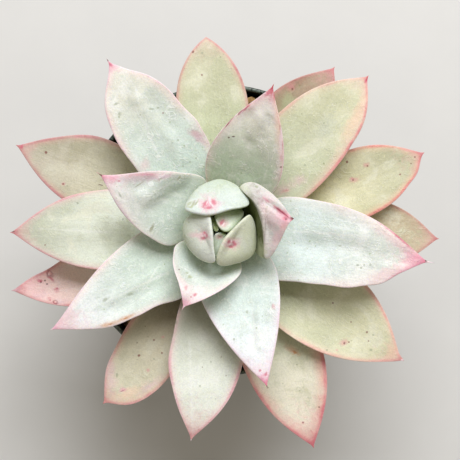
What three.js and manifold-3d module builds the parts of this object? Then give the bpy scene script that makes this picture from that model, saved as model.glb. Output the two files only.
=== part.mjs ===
// A potted rosette succulent: a thin plastic nursery pot, its soil and coarse grit, and one plant with a
// short stem and 26 fleshy leaves in a clockwise spiral. Millimetres, +Z up, origin under the pot's middle.
import * as THREE from "three";
import { mergeVertices } from "three/addons/utils/BufferGeometryUtils.js";
import Module from "manifold-3d";

const wasm = await Module();
wasm.setup();

// Pot: a 9 cm round with a stepped collar and a thin rolled lip.
const POT_HEIGHT = 75;
const RIM_RADIUS = 45;
const LIP = 0.65;
const COLLAR_HEIGHT = 10;
const COLLAR_STEP = 1.4;
const COLLAR_FLARE = 0.2;
const SHOULDER = 0.6;
const FOOT_RADIUS = 31;
const FOOT_CHAMFER = 1;
const WALL = 0.7;
const FLOOR = 1.2;
const DRAIN_RADIUS = 3.5;
const DRAIN_CIRCLE = 19;
const DRAIN_COUNT = 6;

// Soil and grit. GAP is the clearance kept between neighbouring pieces.
const GAP = 0.3;
const SOIL_TOP = 70;
const SOIL_SWELL = 0.35;
const SOIL_MARGIN = 0.2;
const GRIT_COUNT = 12;
const GRIT_SIZE = 2.1;
const GRIT_FLATNESS = 0.72;
const GRIT_CIRCLE = 40.8;
const GRIT_CLEARANCE = 0.4;
const GRIT_FIRST_AZIMUTH = 77;

// Stem: it tapers from the soil to the growing tip.
const PLANT_X = -0.8;
const PLANT_Y = 1.4;
const STEM_FOOT = 60;
const STEM_TOP = 104.5;
const STEM_FOOT_RADIUS = 7.5;
const STEM_TOP_RADIUS = 3;

// Leaves: each one sits a little higher on the stem than the one before.
const FIRST_SEAT = 76;
const SEAT_PITCH = 1.12;
const RING_POINTS = 12;
const RING_COUNT = 13;
const SEAT_WIDTH = 0.4;
const SEAT_PLUMPNESS = 0.6;
const SEAT_CLEARANCE = 0.1;
const END_ROUNDING = 0.06;
const MARGIN_SHARPNESS = 1.4;
const FACE_SHARE = 0.28;

// One row a leaf, from the lowest and outermost to the heart.
// azimuth: direction of the tip, counter-clockwise from +X. reach: tip to the plant's axis. tip: its height.
// width: the greatest, at belly of the length. taper: 1 for a triangular tip, 3 for a broad one.
// arch and droop: degrees by which the leaf starts steeper, and ends flatter, than its chord.
// cup: half the angle that its width bends. lean: how far its foot is turned from the tip's direction.
// hook: how far the tip itself is turned. bow: length of the curve's handles, as a share of the chord.
// blunt: under 1 for a rounder tip. thick: greatest thickness.
const LEAF_SHAPES = [
  { azimuth: 356.5, reach: 65.8, tip: 82, width: 21.5, belly: 0.6, taper: 2.6, lean: 3 },
  { azimuth: 197.5, reach: 65, tip: 83, width: 18, belly: 0.5, taper: 2.4, lean: 7, hook: -12 },
  { azimuth: 54, reach: 58.3, tip: 83.5, width: 23, belly: 0.55, taper: 2.3, arch: 6, droop: 6 },
  { azimuth: 293, reach: 72.2, tip: 84, width: 24.8, belly: 0.5, taper: 2.5, lean: 5 },
  { azimuth: 158.5, reach: 65, tip: 86, width: 23, belly: 0.5, taper: 2.3 },
  { azimuth: 19.5, reach: 64.2, tip: 87, width: 20, belly: 0.5, taper: 2.6, lean: -6, hook: 3 },
  { azimuth: 237, reach: 62.5, tip: 89, width: 19.5, belly: 0.55, taper: 3, lean: 8, hook: -6 },
  { azimuth: 94, reach: 55, tip: 91, width: 21.5, belly: 0.5, taper: 2.8, blunt: 0.75, lean: -1 },
  { azimuth: 323, reach: 66.6, tip: 92, width: 27, belly: 0.45, taper: 2.4, lean: -2 },
  { azimuth: 182, reach: 60, tip: 94, width: 25, belly: 0.45, taper: 2.3 },
  { azimuth: 45, reach: 60, tip: 97, width: 23.7, belly: 0.42, taper: 3 },
  {
    azimuth: 262, reach: 62, tip: 98, width: 21.5, belly: 0.5, taper: 2.8,
    blunt: 1.05, lean: 4, hook: -6,
  },
  { azimuth: 124, reach: 55.5, tip: 102, width: 22.5, belly: 0.4, taper: 3 },
  { azimuth: 350, reach: 60, tip: 102, width: 25, belly: 0.3, taper: 2.4, lean: -1 },
  { azimuth: 212, reach: 55, tip: 104, width: 22.5, belly: 0.3, taper: 1.8, lean: 2 },
  {
    azimuth: 68.5, reach: 40.2, tip: 114, width: 23.7, belly: 0.42, taper: 1.7,
    arch: 3, lean: -3, thick: 4.2,
  },
  { azimuth: 286.5, reach: 46.3, tip: 108, width: 23, belly: 0.3, taper: 1.6, lean: 2.5, thick: 4.5 },
  {
    azimuth: 157, reach: 34.8, tip: 112.5, width: 21.5, belly: 0.36, taper: 1.6,
    lean: 3, hook: -12, thick: 4.2,
  },
  {
    azimuth: 5, reach: 20, tip: 116, width: 23, belly: 0.55, taper: 2.4,
    arch: -48, droop: 38, cup: 44, lean: 5, hook: -6, thick: 3.6,
  },
  {
    azimuth: 247, reach: 24.2, tip: 112, width: 21.5, belly: 0.42, taper: 1.55,
    arch: -16, droop: 28, cup: 38, lean: 8, hook: -6, thick: 4,
  },
  {
    azimuth: 94, reach: 2.8, tip: 117, width: 20.2, belly: 0.5, taper: 2.5,
    blunt: 0.8, arch: -68, droop: -72, cup: 60, bow: 0.48, thick: 4,
  },
  {
    azimuth: 323, reach: 2.4, tip: 116.5, width: 18.4, belly: 0.5, taper: 2.5,
    blunt: 0.75, arch: -64, droop: -66, cup: 32, bow: 0.42, thick: 4,
  },
  {
    azimuth: 198, reach: 2.4, tip: 115.5, width: 15.8, belly: 0.5, taper: 2.4,
    blunt: 0.75, arch: -62, droop: -66, cup: 34, lean: 26, bow: 0.4, thick: 4,
  },
  {
    azimuth: 48, reach: 0.2, tip: 114, width: 11, belly: 0.5, taper: 2,
    arch: -45, droop: -45, cup: 40, thick: 2.6,
  },
  {
    azimuth: 264, reach: 1.2, tip: 113, width: 8, belly: 0.5, taper: 2,
    arch: -45, droop: -45, cup: 40, thick: 2.4,
  },
  {
    azimuth: 150, reach: 1.2, tip: 111, width: 7, belly: 0.5, taper: 2,
    arch: -45, droop: -45, cup: 40, thick: 2,
  },
];
const LEAF_DEFAULTS = { blunt: 0.95, arch: 7, droop: 7, bow: 0.37, cup: 20, lean: 0, hook: 0, thick: 5 };

const COLOURS = {
  pot: { color: 0x1b2620, roughness: 0.45, metalness: 0 },
  soil: { color: 0x4a3728, roughness: 0.95, metalness: 0 },
  grit: { color: 0xa3804b, roughness: 0.9, metalness: 0 },
  stem: { color: 0x8f9a6c, roughness: 0.7, metalness: 0 },
  outerLeaf: { color: 0xd6d7b3, roughness: 0.62, metalness: 0 },
  innerLeaf: { color: 0xdfe9df, roughness: 0.6, metalness: 0 },
};
const FIRST_INNER_LEAF = 13;

const radians = THREE.MathUtils.degToRad;
const lerp = THREE.MathUtils.lerp;

// The pot's wall leans outward from the foot to the collar; this is its outer radius at a height.
const collarRadius = RIM_RADIUS - LIP;
const collarFoot = POT_HEIGHT - COLLAR_HEIGHT;
const bodyTop = collarRadius - COLLAR_STEP;
const bodyRadius = (z) => lerp(FOOT_RADIUS, bodyTop, z / collarFoot);

// A named piece in one of the finishes above.
function piece(name, geometry, finish) {
  const mesh = new THREE.Mesh(geometry, new THREE.MeshStandardMaterial(COLOURS[finish]));
  mesh.name = name;
  return mesh;
}

// A copy of a shape with one point at each corner.
function bare(geometry) {
  const copy = geometry.clone();
  copy.deleteAttribute("normal");
  copy.deleteAttribute("uv");
  return mergeVertices(copy, 1e-4);
}

// A shape as a solid that can be cut, and a cut solid as a shape again.
function solid(geometry) {
  const g = bare(geometry);
  return new wasm.Manifold(new wasm.Mesh({
    numProp: 3,
    vertProperties: new Float32Array(g.attributes.position.array),
    triVerts: new Uint32Array(g.index.array),
  }));
}

function geometryOf(made) {
  const mesh = made.getMesh();
  const g = new THREE.BufferGeometry();
  g.setAttribute("position", new THREE.BufferAttribute(mesh.vertProperties, 3));
  g.setIndex(new THREE.BufferAttribute(mesh.triVerts, 1));
  g.computeVertexNormals();
  return g;
}

// A profile of [radius, height] pairs turned about the upright axis.
function turned(profile, segments) {
  const points = profile.map(([r, z]) => new THREE.Vector2(r, z));
  return new THREE.LatheGeometry(points, segments).rotateX(Math.PI / 2);
}

// The pot is one moulded shell with drain holes in its floor.
function makePot() {
  const lip = [-30, 22, 75, 127, 180].map(radians).map((turn) => [
    collarRadius + LIP * Math.cos(turn),
    POT_HEIGHT - LIP + LIP * Math.sin(turn),
  ]);
  const shell = turned([
    [0, 0],
    [FOOT_RADIUS - FOOT_CHAMFER, 0],
    [FOOT_RADIUS, FOOT_CHAMFER],
    [bodyTop, collarFoot],
    [collarRadius, collarFoot + SHOULDER],
    [collarRadius + COLLAR_FLARE, POT_HEIGHT - 2 * LIP],
    ...lip,
    [collarRadius - WALL, collarFoot + 2 * SHOULDER],
    [bodyTop - WALL, collarFoot],
    [FOOT_RADIUS - WALL, FLOOR],
    [0, FLOOR],
  ], 48);
  let made = solid(shell);
  for (let k = 0; k < DRAIN_COUNT; k++) {
    const hole = new THREE.CylinderGeometry(DRAIN_RADIUS, DRAIN_RADIUS, 3 * FLOOR, 16);
    const turn = 2 * Math.PI * k / DRAIN_COUNT;
    hole.rotateX(Math.PI / 2);
    hole.translate(DRAIN_CIRCLE * Math.cos(turn), DRAIN_CIRCLE * Math.sin(turn), FLOOR / 2);
    made = made.subtract(solid(hole));
  }
  return piece("pot", geometryOf(made), "pot");
}

// Height of the soil's gently uneven top.
function soilTop(x, y) {
  const waves = Math.sin(0.31 * x + 0.4) * Math.cos(0.27 * y) + 0.5 * Math.sin(0.6 * (x - y));
  return SOIL_TOP + SOIL_SWELL * waves;
}

const stemRadius = (z) => lerp(STEM_FOOT_RADIUS, STEM_TOP_RADIUS, (z - STEM_FOOT) / (STEM_TOP - STEM_FOOT));

// The soil fills the pot, with a pocket that the stem's foot stands in.
function makeSoil() {
  const inner = (z) => (z <= collarFoot ? bodyRadius(z) : collarRadius) - WALL - GAP;
  const rings = [1, 0.84, 0.68, 0.52, 0.36].map((k) => [k * inner(SOIL_TOP), SOIL_TOP]);
  const geometry = bare(turned([
    [0, FLOOR + GAP],
    [inner(0) - SOIL_MARGIN, FLOOR + GAP],
    [inner(collarFoot) - SOIL_MARGIN, collarFoot],
    [inner(SOIL_TOP) - SOIL_MARGIN, collarFoot + 2],
    ...rings,
    [0, SOIL_TOP],
  ], 32));
  const spot = geometry.attributes.position;
  for (let k = 0; k < spot.count; k++) {
    if (spot.getZ(k) > SOIL_TOP - 0.01) spot.setZ(k, soilTop(spot.getX(k), spot.getY(k)));
  }
  const depth = 2 * (SOIL_TOP - STEM_FOOT);
  const pocket = new THREE.CylinderGeometry(STEM_FOOT_RADIUS + GAP, STEM_FOOT_RADIUS + GAP, depth, 24);
  pocket.rotateX(Math.PI / 2).translate(PLANT_X, PLANT_Y, STEM_FOOT - GAP + depth / 2);
  return piece("soil", geometryOf(solid(geometry).subtract(solid(pocket))), "soil");
}

// Coarse grains that lie on the soil along the wall.
function makeGrit() {
  const grains = [];
  for (let k = 0; k < GRIT_COUNT; k++) {
    const size = GRIT_SIZE * (1 + 0.25 * Math.sin(2.4 * k));
    const geometry = bare(new THREE.IcosahedronGeometry(size, 1));
    const spot = geometry.attributes.position;
    for (let v = 0; v < spot.count; v++) {
      const [x, y, z] = [spot.getX(v), spot.getY(v), spot.getZ(v)];
      const lump = 1 + 0.13 * Math.sin(1.7 * x + k) * Math.cos(1.9 * y - k) - 0.1 * Math.cos(1.5 * z + 2 * k);
      spot.setXYZ(v, x * lump, y * lump * 0.85, z * lump * GRIT_FLATNESS);
    }
    const turn = radians(GRIT_FIRST_AZIMUTH + k * 360 / GRIT_COUNT + 6 * Math.sin(5 * k));
    const away = GRIT_CIRCLE - 1.5 * Math.abs(Math.sin(3 * k));
    const [x, y] = [away * Math.cos(turn), away * Math.sin(turn)];
    geometry.rotateZ(2 * k);
    geometry.computeBoundingBox();
    geometry.translate(x, y, soilTop(x, y) + GRIT_CLEARANCE - geometry.boundingBox.min.z);
    grains.push(piece(`grit_${String(k + 1).padStart(2, "0")}`, geometry, "grit"));
  }
  return grains;
}

// The stem is a plain taper that ends under the heart.
function makeStem() {
  const profile = [[0, STEM_FOOT]];
  for (let k = 0; k <= 6; k++) {
    const z = lerp(STEM_FOOT, STEM_TOP - 1, k / 6);
    profile.push([stemRadius(z), z]);
  }
  profile.push([0, STEM_TOP]);
  const geometry = turned(profile, 20).translate(PLANT_X, PLANT_Y, 0);
  return piece("stem", geometry, "stem");
}

// Half width of a leaf along its length, as a share of the greatest: it widens from the seat to the belly
// and closes in a pointed arch.
function outline(t, leaf) {
  if (t < leaf.belly) return lerp(SEAT_WIDTH, 1, Math.sin(Math.PI / 2 * t / leaf.belly));
  return Math.pow(1 - Math.pow((t - leaf.belly) / (1 - leaf.belly), leaf.taper), leaf.blunt);
}

// Thickness along the length, as a share of the greatest.
function plumpness(t) {
  return t < 0.5 ? lerp(SEAT_PLUMPNESS, 1, Math.sin(Math.PI * t)) : Math.pow(1 - Math.pow(2 * t - 1, 3), 0.7);
}

// The midrib runs from the stem to the tip on a cubic curve.
function midrib(leaf, seat) {
  const foot = stemRadius(seat) + GAP + SEAT_CLEARANCE;
  const tipTurn = radians(leaf.azimuth);
  const footTurn = radians(leaf.azimuth + leaf.lean);
  const start = new THREE.Vector3(foot * Math.cos(footTurn), foot * Math.sin(footTurn), seat);
  const end = new THREE.Vector3(leaf.reach * Math.cos(tipTurn), leaf.reach * Math.sin(tipTurn), leaf.tip);
  const chord = Math.atan2(leaf.tip - seat, leaf.reach - foot);
  const handle = leaf.bow * start.distanceTo(end);
  const away = (turn, rise) => new THREE.Vector3(
    Math.cos(turn) * Math.cos(rise), Math.sin(turn) * Math.cos(rise), Math.sin(rise));
  const rise = chord + radians(leaf.arch);
  const fall = chord - radians(leaf.droop);
  const second = start.clone().addScaledVector(away(footTurn, rise), handle);
  const third = end.clone().addScaledVector(away(tipTurn + radians(leaf.hook), fall), -handle);
  return new THREE.CubicBezierCurve3(start, second, third, end);
}

// A ball is drawn out along the midrib: its poles become the seat and the tip, its girdle the margins.
// Most of the thickness hangs under the midrib; the upper face is flatter.
function leafGeometry(leaf, seat) {
  const curve = midrib(leaf, seat);
  const turn = radians(leaf.azimuth + leaf.lean / 2);
  const across = new THREE.Vector3(-Math.sin(turn), Math.cos(turn), 0);
  const cup = radians(leaf.cup);
  const geometry = bare(new THREE.SphereGeometry(1, RING_POINTS, RING_COUNT));
  const spot = geometry.attributes.position;
  const place = new THREE.Vector3();
  for (let k = 0; k < spot.count; k++) {
    const t = THREE.MathUtils.clamp((1 - spot.getY(k)) / 2, 0, 1);
    const ring = Math.max(Math.hypot(spot.getX(k), spot.getZ(k)), 1e-6);
    const u = spot.getX(k) / ring;
    const v = spot.getZ(k) / ring;
    const closing = Math.sqrt(1 - Math.pow(1 - Math.min(t / END_ROUNDING, 1), 2));
    const half = leaf.width / 2 * outline(t, leaf) * closing;
    const body = leaf.thick * plumpness(t) * closing * Math.pow(Math.abs(v), MARGIN_SHARPNESS);
    const lift = body * (v > 0 ? FACE_SHARE : FACE_SHARE - 1);
    const along = curve.getTangent(t);
    const side = across.clone().addScaledVector(along, -across.dot(along)).normalize();
    const up = along.clone().cross(side);
    const bend = cup * u;
    place.copy(curve.getPoint(t));
    place.addScaledVector(side, half * Math.sin(bend) / cup - lift * Math.sin(bend));
    place.addScaledVector(up, half * (1 - Math.cos(bend)) / cup + lift * Math.cos(bend));
    spot.setXYZ(k, place.x, place.y, place.z);
  }
  return geometry.translate(PLANT_X, PLANT_Y, 0);
}

// The spiral of leaves, numbered from the outermost.
function makeLeaves() {
  return LEAF_SHAPES.map((shape, k) => {
    const leaf = { ...LEAF_DEFAULTS, ...shape };
    const finish = k + 1 < FIRST_INNER_LEAF ? "outerLeaf" : "innerLeaf";
    const name = `leaf_${String(k + 1).padStart(2, "0")}`;
    return piece(name, leafGeometry(leaf, FIRST_SEAT + k * SEAT_PITCH), finish);
  });
}

const pottedPlant = new THREE.Group();
pottedPlant.add(makePot(), makeSoil(), ...makeGrit(), makeStem(), ...makeLeaves());

export default pottedPlant;
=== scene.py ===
import math
import random

import bmesh
import bpy
from mathutils import Matrix, Vector, geometry


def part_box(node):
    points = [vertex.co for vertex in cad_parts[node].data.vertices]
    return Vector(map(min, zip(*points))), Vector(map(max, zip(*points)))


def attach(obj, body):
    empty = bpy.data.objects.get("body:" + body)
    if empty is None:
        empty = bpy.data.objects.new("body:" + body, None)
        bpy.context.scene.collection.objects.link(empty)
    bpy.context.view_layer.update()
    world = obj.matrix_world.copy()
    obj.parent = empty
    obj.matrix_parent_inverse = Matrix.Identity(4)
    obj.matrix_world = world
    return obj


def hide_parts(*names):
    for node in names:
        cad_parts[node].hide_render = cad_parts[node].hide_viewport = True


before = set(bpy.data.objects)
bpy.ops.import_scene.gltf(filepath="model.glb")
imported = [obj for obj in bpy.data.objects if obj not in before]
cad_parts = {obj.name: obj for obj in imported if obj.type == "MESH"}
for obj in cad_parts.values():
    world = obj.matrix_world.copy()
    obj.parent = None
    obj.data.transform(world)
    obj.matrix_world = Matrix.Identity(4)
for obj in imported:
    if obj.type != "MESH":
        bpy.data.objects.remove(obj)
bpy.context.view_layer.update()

# A potted echeveria: nursery pot, potting soil and grit, stem, and a clockwise spiral of 26 leaves.
# Metres, +Z up, the origin under the middle of the pot.
MM = 0.001

# The plant stands a little off the pot's middle. Its leaves sit on the stem, one pitch above the other.
PLANT = Vector((-0.8, 1.4, 0)) * MM
STEM_FOOT, STEM_TOP, STEM_RINGS = 60 * MM, 104.5 * MM, 30
STEM_FOOT_RADIUS, STEM_TOP_RADIUS = 7.5 * MM, 3 * MM
FIRST_SEAT, SEAT_PITCH, SEAT_CLEARANCE = 76 * MM, 1.12 * MM, 0.4 * MM
FIRST_INNER_LEAF, FIRST_HEART_LEAF = 13, 21

# A leaf is drawn out from a blank. The blank's rows of points are at shares of its half width, each thinned.
BLANK, UPPER_SHARE = 10 * MM, 0.28
BLANK_ROWS = ((0.92, 0.68), (0.71, 0.87), (0.38, 0.97))
SEAT_WIDTH, SEAT_PLUMPNESS, END_ROUNDING, MARGIN_ROLL = 0.4, 0.6, 0.06, 0.02
# Smoothing draws a shape in, so each is made this much larger first.
SPARE_WIDTH, SPARE_DEPTH, SPARE_HOOD = 1.02, 1.03, 1.015
# A crease moves what lies within this share of its reach as a whole, and drags the rest along.
CREASE_CORE = 0.3

# Pot and soil: the lip's roll, the drain holes, and the soil's top, in millimetres.
LIP_RADIUS, LIP_HEIGHT, LIP_ROLL = 44.35, 74.35, 0.65
DRAIN_HOLES, DRAIN_CIRCLE, DRAIN_RADIUS = 6, 19, 3.5
SOIL_TOP, SOIL_RADIUS, SOIL_RING = 69.7, 42.9, 1.5
# Coarse grains, and how far from the middle the small ones and the crumbs lie.
GRAINS, GRAIN_SPARE = 12, 1.06
CRUMBS_FROM, CRUMBS_TO = 8.5 * MM, 42 * MM

# A window and the light of the room.
WINDOW, WINDOW_AIM, WINDOW_SIZE = Vector((0.096, 0.546, 0.8)), Vector((0, 0, 0.09)), (0.6, 0.45)
WINDOW_ENERGY, WINDOW_TINT = 9, (0.98, 1, 1.04)
ROOM_STRENGTH, ROOM_TINT = 0.29, (1, 0.93, 0.8, 1)
FLOOR_WIDTH = 6

# The camera looks straight down. Places in its picture are counted from the left and the top, in 460ths of
# the picture's width, and so is FOCUS, its focal length.
CAMERA = Vector((2.35, 0, 375)) * MM
PICTURE, FOCUS, SENSOR = 460, 972, 36
MIDDLE = PICTURE / 2

# The leaves, from the lowest and outermost to the heart, in millimetres and degrees.
LEAVES = [
    dict(azimuth=356.5, reach=65.8, tip=82, width=21.5, belly=0.6, taper=2.6, lean=3),
    dict(azimuth=197.5, reach=65, tip=83.5, width=18, belly=0.5, taper=2.4, lean=8, hook=-12),
    dict(azimuth=54, reach=58.3, tip=83.5, width=23, belly=0.55, taper=2.3, arch=6, droop=6),
    dict(azimuth=293, reach=72, tip=84, width=25, belly=0.5, taper=2.5, lean=8, hook=-4),
    dict(azimuth=158.5, reach=64.6, tip=86, width=23, belly=0.5, taper=2.3),
    dict(azimuth=19.5, reach=64, tip=87, width=21.5, belly=0.55, taper=3, lean=-6, hook=8),
    dict(azimuth=237, reach=62.2, tip=89, width=19.8, belly=0.55, taper=3.4, lean=8, hook=-12),
    dict(azimuth=94, reach=55, tip=91, width=22, belly=0.5, taper=2.8, blunt=0.75, lean=-3, pinch=0.15,
         thorn=0.3),
    dict(azimuth=323.2, reach=66.2, tip=92, width=27.4, belly=0.45, taper=2.4, lean=-1, thorn=0.5),
    dict(azimuth=182, reach=60, tip=94, width=24.6, belly=0.45, taper=2.3),
    dict(azimuth=45, reach=60, tip=97, width=23.7, belly=0.42, taper=3, lean=-5),
    dict(azimuth=262.6, reach=61.6, tip=98, width=21.5, belly=0.5, taper=2.8, blunt=1.05, lean=4, hook=-6),
    dict(azimuth=124, reach=55, tip=102, width=22.2, belly=0.4, taper=3, lean=6, thorn=2, pinch=0.35,
         point=0.08),
    dict(azimuth=350, reach=59.4, tip=102, width=25.6, belly=0.3, taper=3, lean=-3, pinch=0.45, point=0.12,
         thorn=3),
    dict(azimuth=212, reach=55, tip=104, width=23, belly=0.3, taper=2.1, lean=3, hook=-7, pinch=0.4,
         point=0.1),
    dict(azimuth=68.5, reach=40, tip=114, width=22.4, belly=0.4, taper=1.8, arch=3, lean=-4, thick=4.2,
         pinch=0.4, point=0.1, thorn=1.6),
    dict(azimuth=286.7, reach=46.2, tip=108, width=23.6, belly=0.3, taper=1.7, lean=3, thick=4.5, thorn=1.2),
    dict(azimuth=157, reach=34.6, tip=112.5, width=20.8, belly=0.36, taper=1.7, lean=1, hook=-12, thick=4.2,
         pinch=0.35, point=0.1, thorn=2),
    dict(azimuth=5, lean=8),
    dict(azimuth=247, reach=24.2, tip=112, width=21.5, belly=0.42, taper=1.55, arch=-16, droop=28, cup=38,
         lean=8, hook=-6, thick=4, thorn=1.4),
    dict(azimuth=94), dict(azimuth=321), dict(azimuth=192), dict(azimuth=48), dict(azimuth=285),
    dict(azimuth=160),
]
USUAL_LEAF = dict(blunt=0.95, arch=7, droop=7, bow=0.37, cup=20, lean=0, hook=0, thick=5, pinch=0.3,
                  point=0.06, thorn=0.8)

# The leaves of the heart, and the one that curls beside it, close over like hoods: the camera sees only their
# backs. Outline, crown and tip are places in the camera's picture. In millimetres: the height of the lip, how
# far the back lies below it, how far both ends sag, and how far the dome rises above the outline.
HOODS = {
    19: dict(lip=114.6, fall=-1.5, sag=4.5, rise=0.9, crown=(266, 213), tip=(293, 218.6),
             under=((0.99, 1.2, 0.5), (0.95, 4, 1.6), (0.85, 8, 2.6)),
             outline=[(239.6, 188), (242.2, 184.6), (247, 182.3), (253, 181.8), (259, 184), (266, 188.6),
                      (273, 194), (279.5, 200.2), (285, 207), (289, 213.4), (291.6, 217), (295.4, 218.5),
                      (291.4, 220), (288.4, 225), (285, 231.5), (281.3, 239), (277.4, 247), (273.6, 254),
                      (270, 258.2), (266, 259), (264, 255.5), (264, 249), (264, 242), (263.4, 235),
                      (262.6, 228), (261.4, 221), (259.4, 214.4), (257, 208.4), (253.6, 202),
                      (249.6, 196.6), (244.6, 193)]),
    21: dict(lip=115.2, fall=6.5, sag=0.8, rise=2, crown=(209.4, 204),
             outline=[(184.4, 210.6), (184.8, 205.5), (187.3, 200.6), (191.3, 194.6), (197.2, 188),
                      (203.6, 183.9), (209.5, 181.6), (216, 179.2), (223, 179.2), (230.4, 181.7),
                      (236.6, 185.3), (241.6, 189.8), (245.6, 194.8), (248.4, 199.8), (249.3, 203.6),
                      (247.6, 206.3), (242, 208.2), (235.7, 209.2), (228.5, 210.5), (221, 213),
                      (213.4, 215.4), (206, 216), (198.5, 214.7), (191, 213.2)]),
    22: dict(lip=115, fall=6.5, sag=0.8, rise=2, crown=(232, 243.3),
             outline=[(248.7, 214.4), (250.6, 215.2), (252.4, 217.6), (254.6, 222.6), (255.8, 228.8),
                      (256.3, 235.6), (256.4, 242.8), (255.8, 249.2), (253.5, 254.6), (249, 258.7),
                      (242.9, 261.4), (235.8, 263.6), (228.8, 265.5), (222.8, 266.2), (218.4, 265),
                      (216.2, 262), (216.3, 257.6), (217.6, 252.5), (219.3, 247.4), (221.3, 242.3),
                      (224.6, 237.3), (229, 232.4), (234.2, 227.1), (239.3, 221.8), (244.5, 217.2)]),
    23: dict(lip=114.6, fall=6, sag=0.8, rise=1.9, crown=(204, 235),
             outline=[(194.6, 212.5), (202, 211.5), (209.8, 213), (211.2, 219), (212.2, 225.5),
                      (213.2, 232.5), (213.8, 240), (214.1, 247), (214.9, 254), (215.8, 260), (214.6, 263),
                      (209, 263), (202.7, 260.9), (197.3, 257.8), (192.9, 253.8), (188.4, 248.4),
                      (185, 242.2), (183, 236.6), (182.6, 230.4), (183.3, 224.6), (185.4, 219.2),
                      (189.5, 214.8)]),
    24: dict(lip=112.3, fall=3.5, sag=0.4, rise=1.3, crown=(222.5, 224),
             outline=[(213, 213), (220, 208.5), (229, 207), (238, 207.5), (244, 210.5), (244, 215),
                      (240.5, 220.5), (236, 226), (231.5, 230.3), (227, 232.6), (223, 231.6),
                      (219.5, 228.7), (216.8, 224.6), (215, 219.8)]),
    25: dict(lip=110.6, fall=2, sag=0.3, rise=0.8, crown=(219.6, 237.5),
             outline=[(214, 234.5), (217, 232.6), (221, 232), (225, 233.2), (227.5, 236), (226, 242),
                      (222, 249), (218.5, 255.5), (215.5, 257), (213.3, 251), (212.6, 242)]),
    26: dict(lip=111.2, fall=1.5, sag=0.2, rise=0.5, crown=(215, 226),
             outline=[(210.5, 215.5), (213.8, 217), (216.4, 222.5), (219, 228), (218.6, 231), (215, 232.3),
                      (213, 229), (211.4, 222)]),
}
# Rings of a hood: its underside as width, depth and how far inward, its dome as width and height, and the
# shares of the way down to its foot.
USUAL_UNDER = ((0.985, 0.8, 0), (0.93, 2.2, 0))
DOME = ((0.95, 0.3), (0.84, 0.56), (0.66, 0.8), (0.44, 0.94), (0.2, 1), (0.07, 1))
HOOD_STEPS = (0.3, 0.62, 0.9, 1)
HOOD_FOOT_RADIUS, HOOD_FOOT_OUT, HOOD_LENGTH = 1.9 * MM, 1.6 * MM, 30 * MM

# Where a leaf's margin bulges or draws in: place and shift in the camera's picture, and reach in millimetres.
BULGES = {
    2: [(45, 271, 1, 1.6, 7), (60, 270, 0.6, 1.6, 8)],
    5: [(96, 138, 0.5, -2.6, 12)],
    6: [(415, 172, 1.5, 1.5, 5)],
    7: [(130, 400.5, 0, 4, 8), (150, 393, 0.5, 2, 8), (115, 347.5, 1.5, 1, 8)],
    9: [(401.7, 361.5, 2, -1, 3)],
    10: [(100, 189, 0, 1.6, 12)],
    11: [(366, 100, 2.5, 0, 8), (361, 122, 2.5, 0.5, 8)],
    12: [(171, 361, -2.5, 0, 9)],
    13: [(107.5, 103, -3, 1, 10), (134, 172, 5, -0.5, 12), (192.5, 125, 4.8, -3.4, 9), (150, 80, 1.5, -3, 8),
         (207, 150, 4, -3, 8), (170, 96, 2.4, -2, 8)],
    14: [(320, 288, 0, -3.7, 9), (295, 285.5, 0, -3, 7), (380, 281, 0.5, 2.7, 6)],
    15: [(150, 317.5, -1.5, -4.5, 9), (130, 323, -0.7, -2.2, 7), (166, 311, -1, -3, 8), (105, 292, 1, 1, 9)],
    18: [(198, 184, 7, -5, 8), (170, 243, 0, 3, 7), (113, 190, 1, 0.6, 6)],
    20: [(174, 267, -1.5, 0, 5)],
}

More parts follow.
